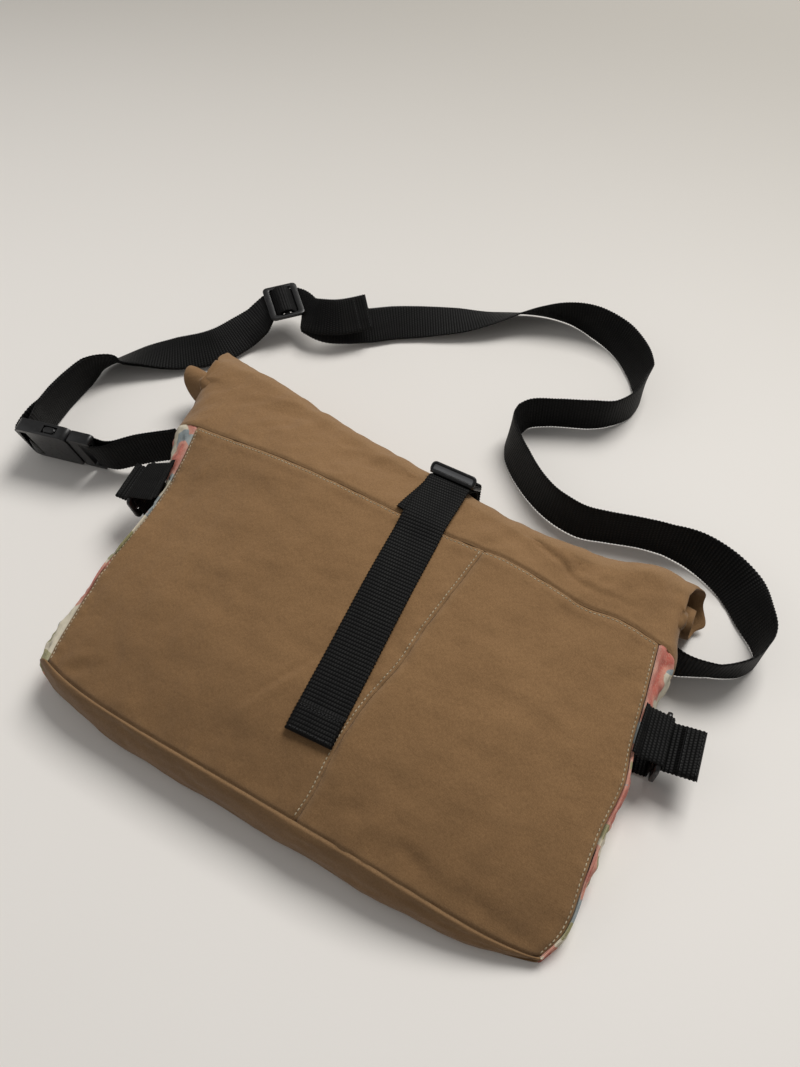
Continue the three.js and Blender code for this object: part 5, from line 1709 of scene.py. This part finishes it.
@dataclass
class Closure:
    """The closing strap, its ladder-lock on the crest, and the webbing that holds it."""

    make: Strapping
    shift: float = 0.5
    foot_shift: float = -4.0
    end_shift: float = 9.5
    lock_turn: float = 0.09
    lock_lift: float = 4.6
    lip_height: float = 6.8
    lip_round: float = 3.4
    length: float = 183.0
    hem: float = 17.0
    lip_rows: Rows = (
        (2.6, -0.9), (2.2, -0.85), (1.9, -0.6), (1.75, -0.15), (1.45, 0.0), (0.45, 0.0),
        (0.14, -0.25), (0.0, -0.7), (0.0, -1.9), (0.12, -2.45), (0.5, -2.8),
    )

    def placing(self) -> Placing:
        """Places the ladder-lock along the roll, just past its crest.

        Returns:
            Its frame.
        """
        make, half = self.make, self.make.web.width / 2
        ends = [make.on_roll(self.shift + k * half, self.lock_turn, 0)[0] for k in (-1, 1)]
        across = unit(between(unit(ends[1] - ends[0]), np.array([1.0, 0.0, 0.0]), 0.7))
        near = [make.on_roll(self.shift, self.lock_turn + k * 0.02, 0)[0] for k in (-1, 1)]
        along = near[1] - near[0]
        along = unit(along - across * np.dot(along, across))
        lock = Placing(make.on_roll(self.shift, self.lock_turn, 0)[0], across, along)
        lock.origin = lock.origin + lock.off * self.lock_lift
        return lock

    def lock(self, placing: Placing) -> None:
        """The ladder-lock: a frame of two slots, and a raised lip with a sunk face at its front.

        The lip is a stack of outlines, one for each row of an inset and a distance out.

        Args:
            placing: its frame.
        """
        sizes = self.make.sizes
        moulding = Moulding(placing)
        half = sizes.lock_length / 2
        sizes.ladder(moulding, sizes.lock_length, sizes.lock_rim)
        front, deep = -half, sizes.depth / 2
        middle = (self.lip_height - deep) / 2

        def section(inset: float) -> Array:
            """The lip's outline, drawn in by an inset."""
            tall = (self.lip_height + deep) / 2
            line = outline(sizes.slot + sizes.lock_rim - inset, tall - inset,
                           max(self.lip_round - inset, 0.9))
            return line * (1, -1) + (0, middle)

        lip = [(section(inset), front - out) for inset, out in self.lip_rows]
        # The lip's first two outlines are its sunk face, which takes a painted reflection.
        moulding.stack(lip, (0, 2, 1), sunk=2)
        finished(moulding.skin.build("ladder_lock"), self.make.plastic, Slot.PLASTIC, "closure_buckle")

    def strap(self, placing: Placing) -> None:
        """Up from the top seam, through the ladder-lock, and back over itself down the front.

        Args:
            placing: the ladder-lock's frame.
        """
        make, web, sizes = self.make, self.make.web, self.make.sizes
        half, deep, lift = sizes.lock_length / 2, sizes.depth / 2, web.lift
        crest_y = make.form.crest(make.form.across_at(np.array([self.shift]), np.ones(1)))[0][0]
        in_front = (placing.origin - placing.along * half)[1] - 7
        share = np.linspace(0, 1, 12)
        rising = make.on_skin(between(self.foot_shift, self.shift, share * 0.9),
                              between(make.form.height + 0.3, in_front, share), np.full(12, make.slack), 1)
        middle, front = sizes.bar / 2, (-half, -half + sizes.bar)
        path = taut([
            Corner(-half - 1, -deep - web.step, 1, lift), Corner(middle, -deep, 1, lift),
            Corner(middle, deep, 1, lift), Corner(-middle, deep, 1, lift),
            Corner(front[1], -deep, -1, lift), Corner(front[0], -deep, -1, lift),
        ])
        share = np.linspace(0, 1, 90)
        y = between(in_front, crest_y - self.length, share)
        over = np.clip((y - make.form.height + 12) / 12, 0, 1) * web.step
        lifted_end = 0.7 * eased((share - 0.86) / 0.14)
        falling = make.on_skin(between(self.shift, self.end_shift, share), y,
                               make.slack + over + lifted_end, -1)
        skin = Skin()
        laid = web.ribbon(skin, Route.chain(rising, placing.follow(path), falling), hem=self.hem)
        make.hems.across(laid, 2.2, self.hem - 2.0)
        finished(skin.build("closing_strap"), make.webbing, Slot.WEBBING, "closure_strap")

    def holder(self, placing: Placing) -> None:
        """From the back panel's edge under the roll, up its far side and round the rear bar.

        Args:
            placing: the ladder-lock's frame.
        """
        make, web, sizes = self.make, self.make.web, self.make.sizes
        half, deep, lift = sizes.lock_length / 2, sizes.depth / 2, web.lift
        rear = (half - sizes.bar, half)
        turns = between(self.lock_turn + 0.13, 0.5, np.arange(7) / 6)

        def inside(out: float) -> list[Corner]:
            """The roll's far side, as plain points in the ladder-lock's plane."""
            away = make.on_roll(self.shift, turns, out) - placing.origin
            return [Corner(float(p @ placing.along), float(p @ placing.off)) for p in away]

        path = taut(inside(lift + make.slack + web.step)[2::-1] + [
            Corner(rear[1], deep, 1, lift), Corner(rear[0], deep, 1, lift),
            Corner(rear[0], -deep, 1, lift), Corner(rear[1], -deep, 1, lift),
        ] + inside(lift + make.slack)[:-1])
        route = placing.follow(path)
        level = unit(placing.across * (1, 1, 0))
        share = np.clip(route.middle[:, 2:] / (placing.origin[2] * 0.6), 0, 1)
        route.across = unit(between(level, placing.across, share))
        crest_y = make.form.crest(make.form.across_at(np.array([self.shift]), np.ones(1)))[0][0]
        edge = make.form.height - make.form.back_short
        y = np.array([crest_y + 5, crest_y - 8, edge + 14, edge + 2])
        flat = np.stack([np.full(4, self.shift), y, np.full(4, lift + 0.15)], -1)
        back = np.broadcast_to((0.0, -1.0, 0.0), (4, 3))
        under = Route(flat, np.broadcast_to(level, (4, 3)), back)
        skin = Skin()
        web.ribbon(skin, Route.chain(route, under))
        finished(skin.build("lock_holder"), make.webbing, Slot.WEBBING, "closure_anchor")

    def build(self) -> None:
        """Builds the ladder-lock and both lengths of webbing."""
        placing = self.placing()
        self.lock(placing)
        self.strap(placing)
        self.holder(placing)


@dataclass
class SideStrap:
    """One gusset's slider, the webbing that holds it, and the strap that passes through it.

    All are drawn in a plane across the bag, whose axes are the distance out of the front seam and
    the height over the table.
    """

    make: Strapping
    name: str
    sign: int
    up: float
    tail: float
    stand: float
    slack: float = 1.2
    tail_length: float = 18.0
    hem: float = 12.0

    def __post_init__(self) -> None:
        """Finds the seam's place and slope, the gusset's bulge, and the plane across the bag."""
        form, up, place = self.make.form, np.array([self.up]), np.array([float(self.sign)])
        front = form.front(place, up)[0]
        self.slope = (form.front(place, up + 0.08) - form.front(place, up - 0.08))[0]
        self.bulge = float(form.side(3 if self.sign < 0 else 4, up)[0])
        self.middle, self.half = front[2] / 2, self.make.sizes.lock_length / 2
        across = self.leaning(0.5)[0]
        along = unit(np.array([across[1], -across[0], 0.0])) * self.sign
        off = np.cross(across, along) * -self.sign
        self.plane = Placing(np.array([front[0], front[1], 0.0]), across, along, off)

    def leaning(self, share: Array | float) -> Array:
        """The seam's direction with a share of its slope."""
        x, y, z = self.slope
        share = np.atleast_1d(share)
        return unit(np.stack([0 * share + x, 0 * share + y, z * share], -1))

    def laid(self, line: Array) -> Route:
        """The route of a tight line: its width is level at the table and as steep as the seam there."""
        route, middle, half = self.plane.follow(line), self.middle, self.half
        over = np.clip((line[:, 1] - middle - half - self.make.web.lift) / 4, 0, 1)
        under = np.clip((middle - half - line[:, 1]) / (middle - half), 0, 1)
        route.across = self.leaning(0.5 + 0.5 * over - 0.5 * under)
        return route

    def off_side(self, angle: float, gap: float) -> Corner:
        """A plain point off the gusset's round, at an angle from the front seam."""
        out, up = self.bulge + gap, self.middle + gap
        return Corner(out * math.sin(angle), self.middle + up * math.cos(angle))

    def loop(self) -> None:
        """Builds the slider, upright beside the seam."""
        plane, sizes = self.plane, self.make.sizes
        place = plane.origin + plane.along * self.stand + plane.off * self.middle
        moulding = Moulding(Placing(place, plane.across, plane.off))
        sizes.ladder(moulding, sizes.lock_length, sizes.rim)
        finished(moulding.skin.build(f"side_loop_{self.name}"), self.make.plastic, Slot.PLASTIC,
                 f"side_slider_{self.name}")

    def holder(self) -> None:
        """Builds the webbing from the front seam, round the gusset and the slider's upper bar."""
        web, sizes, bar = self.make.web, self.make.sizes, self.stand
        lift, deep = web.lift, sizes.depth / 2
        high, low = self.middle + self.half, self.middle + self.half - sizes.bar
        hung = taut([self.off_side(angle, lift + self.slack) for angle in (0.1, 0.4, 0.7)] + [
            Corner(bar + deep, high, -1, lift), Corner(bar + deep, low, -1, lift),
            Corner(bar - deep, low, -1, lift), Corner(bar - deep - lift, high - lift),
        ])
        skin = Skin()
        web.ribbon(skin, self.laid(hung), soft=1.0)
        finished(skin.build(f"side_holder_{self.name}"), self.make.webbing, Slot.WEBBING,
                 f"side_anchor_{self.name}")

    def free_tail(self) -> None:
        """Builds the strap from the back seam, under the slider's middle bar and out of it."""
        web, sizes, bar, middle = self.make.web, self.make.sizes, self.stand, self.middle
        lift, deep = web.lift, sizes.depth / 2
        slot_middle = middle + (sizes.bar / 2 + self.half - sizes.bar) / 2
        tuck = math.acos(1 - (2 * lift + self.slack) / middle)
        reach = self.tail_length * self.tail
        drawn = taut([
            Corner(self.off_side(math.pi - tuck, 0).a + self.slack, lift),
            Corner(bar - deep - 2 * lift, 2 * lift, 1, lift),
            Corner(bar - deep, middle + sizes.bar / 2, -1, lift), Corner(bar + 4, slot_middle),
            Corner(bar + 4 + reach, slot_middle + 2),
        ])
        skin, hem = Skin(), min(self.hem, reach * 0.8)
        ribbon = web.ribbon(skin, self.laid(drawn), hem=hem, soft=1.0)
        self.make.hems.across(ribbon, 2.0, hem - 1.5)
        finished(skin.build(f"side_tail_{self.name}"), self.make.webbing, Slot.WEBBING,
                 f"side_strap_{self.name}")

    def build(self) -> None:
        """Builds the slider and both lengths of webbing."""
        self.loop()
        self.holder()
        self.free_tail()


@dataclass
class BuckleAndStrap:
    """The shoulder strap with its slider and side-release buckle, and the short strap beyond it.

    The rows of a route are x, y and lean, and a height where the webbing is off the table.
    """

    make: Strapping
    buckle_length: float = 66.0
    buckle_bar: float = 4.0
    buckle_place: tuple[float, ...] = (-300.0, 149.0, 20.0)
    buckle_turn: float = 11.0
    buckle_lean: float = 12.0
    slider_place: tuple[float, ...] = (-239.0, 365.0, 28.0)
    slider_way: tuple[float, ...] = (-0.682, -0.731, 0.0)
    slider_lean: float = -10.0
    strap_rows: Rows = (
        (170, 189.5, 88), (176, 189, 92), (183, 190.5, 98), (194.5, 194.5, 104), (202, 198.5, 100),
        (211, 206, 94), (217, 219, 90), (215.5, 231, 104), (206, 246.5, 122), (194.5, 263, 139),
        (178.5, 272.5, 129), (158, 278, 114), (139, 277.5, 98), (121.5, 275, 96), (98.5, 269, 98),
        (81.5, 265.5, 102), (67, 267.5, 104), (54.5, 271.5, 104), (39, 280.5, 107), (20.5, 296, 112),
        (7.5, 310, 110), (-1.5, 327.5, 96), (1, 337.5, 80), (5.5, 347, 86), (22, 356.5, 90),
        (48.5, 367.5, 88), (62.5, 376, 95), (72.5, 392, 90), (74, 412.5, 90), (69.5, 427, 115),
        (58, 446, 122), (37.5, 465, 120), (12, 474.5, 103), (-11.5, 476.5, 76), (-34.5, 472, 55),
        (-56, 462, 37, 10.8), (-78, 445, 15, 10), (-98, 431, -7, 10.5), (-128, 413, -27, 11),
        (-148, 400, -36, 12), (-166, 384, -42, 14), (-194, 365, -46, 18), (-213, 366.5, -32, 18.5),
    )
    loop_rows: Rows = (
        (-253, 342, -16, 18), (-260, 328, -34, 13.5), (-271, 302, -42, 12.5), (-295, 281, -24, 12),
        (-321, 265, 9, 11), (-338, 250, 35, 10.8), (-343, 237, 62, 15), (-346, 223, 84, 16.4),
        (-347, 204, 90), (-345, 186, 93), (-339, 168, 92, 18),
    )
    tail_rows: Rows = (
        (-213, 364, -38, 24.5), (-200.9, 362, -44, 27.5), (-185, 367.5, -46, 28),
        (-175, 376, -46, 27.5), (-164, 386.5, -46, 28),
    )
    short_rows: Rows = ((-210, 189, 90, 27), (-214, 187, 90, 26), (-238, 172, 90, 23))

    def read(self, rows: Rows, thick: float) -> list[tuple[float, float, float, float]]:
        """Gives every row a height: where it has none, the webbing's lower edge lies on the table.

        Args:
            rows: rows of x, y, lean and, where the webbing is off the table, z.
            thick: thickness of all the layers there.

        Returns:
            Rows of x, y, lean and z.
        """
        made = []
        for x, y, lean, *z in rows:
            rise, run = abs(math.sin(math.radians(lean))), abs(math.cos(math.radians(lean)))
            rest = self.make.web.width / 2 * rise + thick / 2 * run + 2 * self.make.web.clearance
            made.append((x, y, lean, z[0] if z else rest))
        return made

    def buckle(self) -> Placing:
        """The buckle's frame: on its lower edge beside the bag, its top leaning over the strap."""
        turn, lean = math.radians(self.buckle_turn), math.radians(self.buckle_lean)
        along = np.array([math.cos(turn), math.sin(turn), 0.0])
        across = np.array([along[1], -along[0], 0.0]) * math.sin(lean) + UP * math.cos(lean)
        return Placing(np.array(self.buckle_place), across, along)

    def slider(self) -> Placing:
        """The slider's frame, nearly flat where the strap passes behind the roll."""
        along, lean = unit(np.array(self.slider_way)), math.radians(self.slider_lean)
        across = np.cross(UP, along) * math.cos(lean) + UP * math.sin(lean)
        return Placing(np.array(self.slider_place), across, along)

    def doubled(self, route: Route, part: float) -> Route:
        """Out along one side of a route, round the bar at its end, and back along the other side.

        Args:
            route: the middle of the two layers.
            part: distance over which they open towards the bar.

        Returns:
            The route of the one length of webbing.
        """
        web = self.make.web
        reach = math.sqrt(2) * self.buckle_bar / 2 + web.lift
        run = distances(route.middle)
        offset = between(web.step / 2, reach, eased((run - run[-1]) / part + 1))
        angle = np.linspace(0, math.pi, 14)[1:-1, None]
        off, ahead = route.off[-1], route.ahead[-1]
        middle = route.middle[-1] + reach * (off * np.cos(angle) + ahead * np.sin(angle))
        ahead_round = ahead * np.cos(angle) - off * np.sin(angle)
        around = Route(middle, np.broadcast_to(route.across[-1], middle.shape).copy(), ahead_round)
        return Route.chain(route.shifted(offset), around, route.shifted(-offset).turned_back())

    def crossing(self, placing: Placing, on_sides: float, on_middle: float) -> Route:
        """Through the slider behind its side bars and over its middle bar.

        Args:
            placing: the slider's frame.
            on_sides, on_middle: from the bars to the middle of the webbing.

        Returns:
            The route.
        """
        sizes = self.make.sizes
        half, deep = sizes.slider_length / 2, sizes.depth / 2
        low, high = sizes.bar / 2, half - sizes.bar
        return placing.follow(taut([
            Corner(-half, deep, -1, on_sides), Corner(-high, deep, -1, on_sides),
            Corner(-low, -deep, 1, on_middle), Corner(low, -deep, 1, on_middle),
            Corner(high, deep, -1, on_sides), Corner(half, deep, -1, on_sides),
        ]))

    def shoulder(self, buckle: Placing, slider: Placing) -> None:
        """From the right gusset to the slider, on to the buckle's bar, back, and a free tail.

        Args:
            buckle, slider: their frames.
        """
        make, web = self.make, self.make.web
        main = self.crossing(slider, web.lift + web.step, web.lift)
        tail = self.crossing(slider, web.lift, web.lift + web.step)
        bar = buckle.origin + buckle.along * (self.buckle_bar / 2 - self.buckle_length / 2)
        near = bar + buckle.off * 12
        ending = [(*near[:2], 90, near[2]), (*bar[:2], 90, bar[2])]
        loop = curved(self.read(self.loop_rows, web.thick + web.step) + ending)
        blend = eased(np.linspace(-2.5, 1, len(loop.middle)))[:, None]
        loop.across = unit(between(loop.across, buckle.across, blend))
        loop.ahead[-1] = -buckle.off
        tail_line = curved(self.read(self.tail_rows, web.thick)[::-1])
        route = Route.chain(curved(self.read(self.strap_rows, web.thick)), main, self.doubled(loop, 30.0),
                            tail.turned_back(), tail_line.turned_back())
        skin = Skin()
        laid = web.ribbon(skin, route, hem=13.0, square=0.25)
        make.hems.across(laid, 2.0, 11.0)
        finished(skin.build("long_strap"), make.webbing, Slot.WEBBING, "shoulder_strap")

    def short_strap(self, buckle: Placing) -> None:
        """From the left gusset round the buckle's other bar and back.

        Args:
            buckle: the buckle's frame.
        """
        make = self.make
        bar = buckle.origin + buckle.along * (self.buckle_length / 2 - self.buckle_bar / 2)
        near = bar + buckle.along * 12
        route = curved([*self.short_rows, (*near[:2], 90, near[2]), (*bar[:2], 90, bar[2])])
        blend = eased(np.linspace(-1, 1, len(route.middle)))[:, None]
        route.across = unit(between(route.across, buckle.across, blend))
        route.ahead[-1] = -buckle.along
        skin = Skin()
        make.web.ribbon(skin, self.doubled(route, 22.0))
        finished(skin.build("short_strap"), make.webbing, Slot.WEBBING, "buckle_strap")

    def build(self) -> None:
        """Builds the slider, both halves of the buckle and both straps."""
        buckle, slider = self.buckle(), self.slider()
        moulding, sizes = Moulding(slider), self.make.sizes
        sizes.ladder(moulding, sizes.slider_length, sizes.rim)
        finished(moulding.skin.build("strap_adjuster"), self.make.plastic, Slot.PLASTIC, "strap_slider")
        for node, name in (("buckle_female", "buckle_socket"), ("buckle_male", "buckle_prongs")):
            finished(moulded_copy(node, name, 0.7), self.make.plastic, Slot.PLASTIC, node)
        SqueezeButtons().build(buckle, self.make.plastic)
        self.shoulder(buckle, slider)
        self.short_strap(buckle)


# The picture


@dataclass
class Studio:
    """The table, the soft light and the camera at the photograph's angle."""

    place: tuple[float, ...] = (0.15526, -0.17872, 0.46339)
    azimuth: float = 32.537
    elevation: float = 52.867
    roll: float = 3.937
    pixels: float = 800.0
    frame_height: float = 1067.0

    def camera(self) -> None:
        """Looks along azimuth and elevation, rolled about its own axis by a turn of right and down."""
        az, el, roll = (math.radians(k) for k in (self.azimuth, self.elevation, self.roll))
        ahead = np.array([-math.sin(az) * math.cos(el), math.cos(az) * math.cos(el), -math.sin(el)])
        right = np.array([math.cos(az), math.sin(az), 0.0])
        down = np.cross(ahead, right)
        right, down = (math.cos(roll) * right + math.sin(roll) * down,
                       math.cos(roll) * down - math.sin(roll) * right)
        lens = bpy.data.cameras.new("camera")
        lens.lens = lens.sensor_width * self.pixels / self.frame_height
        lens.clip_start = 0.01
        camera = bpy.data.objects.new("camera", lens)
        turned = Matrix(np.stack([right, -down, -ahead], 1).tolist()).to_4x4()
        camera.matrix_world = Matrix.Translation(self.place) @ turned
        bpy.context.scene.collection.objects.link(camera)
        bpy.context.scene.camera = camera

    def table(self) -> None:
        """A wide pale table under the bag."""
        mesh = bpy.data.meshes.new("table")
        mesh.from_pydata([(-4, -4, 0), (4, -4, 0), (4, 4, 0), (-4, 4, 0)], [], [(0, 1, 2, 3)])
        mesh.materials.append(TableFinish().material())
        table = bpy.data.objects.new("table", mesh)
        bpy.context.scene.collection.objects.link(table)

    def lamp(self, name: str, place: tuple, aim: tuple, size: float, power: float,
             colour: tuple = (1.0, 1.0, 1.0)) -> None:
        """Adds a square soft lamp.

        Args:
            name: its name.
            place, aim: where it hangs and the point that it faces.
            size, power, colour: its side in metres, its watts and its tint.
        """
        light = bpy.data.lights.new(name, "AREA")
        light.size, light.energy, light.color = size, power, colour
        lamp = bpy.data.objects.new(name, light)
        away = unit(np.array(place) - np.array(aim))
        side = unit(np.cross(UP + (0.001, 0, 0), away))
        turned = Matrix(np.stack([side, np.cross(away, side), away], 1).tolist()).to_4x4()
        lamp.matrix_world = Matrix.Translation(place) @ turned
        bpy.context.scene.collection.objects.link(lamp)

    def build(self) -> None:
        """Sets the table, the sky, two lamps and the camera."""
        world = bpy.data.worlds.new("soft sky")
        world.use_nodes = True
        world.node_tree.nodes["Background"].inputs[0].default_value = (1.0, 0.985, 0.965, 1.0)
        world.node_tree.nodes["Background"].inputs[1].default_value = 0.25
        bpy.context.scene.world = world
        bpy.context.scene.view_settings.view_transform = "Standard"
        self.lamp("ceiling lamp", (0.3, 1.9, 2.35), (0.0, 0.1, 0.0), 1.4, 76.0, (1.0, 0.98, 0.95))
        self.lamp("side lamp", (-1.3, -0.5, 0.9), (0.0, 0.0, 0.0), 1.2, 2.0)
        self.table()
        self.camera()


def main() -> None:
    """Builds the bag piece by piece, then the table, the light and the camera."""
    logging.basicConfig(level=logging.INFO, format="%(message)s")
    canvas, webbing = CanvasFinish().material(), WebbingFinish().material()
    plastic = PlasticFinish().material()
    cream = ThreadFinish("cream_thread", (0.72, 0.61, 0.42, 1.0), (0.52, 0.42, 0.27, 1.0))
    black = ThreadFinish("black_thread", (0.02, 0.02, 0.022, 1.0), (0.008, 0.008, 0.009, 1.0))
    Studio().build()
    form, web = BagForm(), Webbing()
    body = CanvasBody(form, canvas)
    body.build()
    PrintGussets(form, PrintFinish().material()).build()
    RolledTop(form, canvas).build()
    Topstitching(body, cream.material()).build()
    hems = HemStitching(web, black.material())
    make = Strapping(form, web, FittingSizes(web), webbing, plastic, hems)
    Closure(make).build()
    SideStrap(make, "right", sign=1, up=0.73, tail=1.0, stand=16.0).build()
    SideStrap(make, "left", sign=-1, up=0.81, tail=0.6, stand=31.0).build()
    BuckleAndStrap(make).build()
    hems.build()
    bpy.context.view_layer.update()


if __name__ == "__main__":
    main()
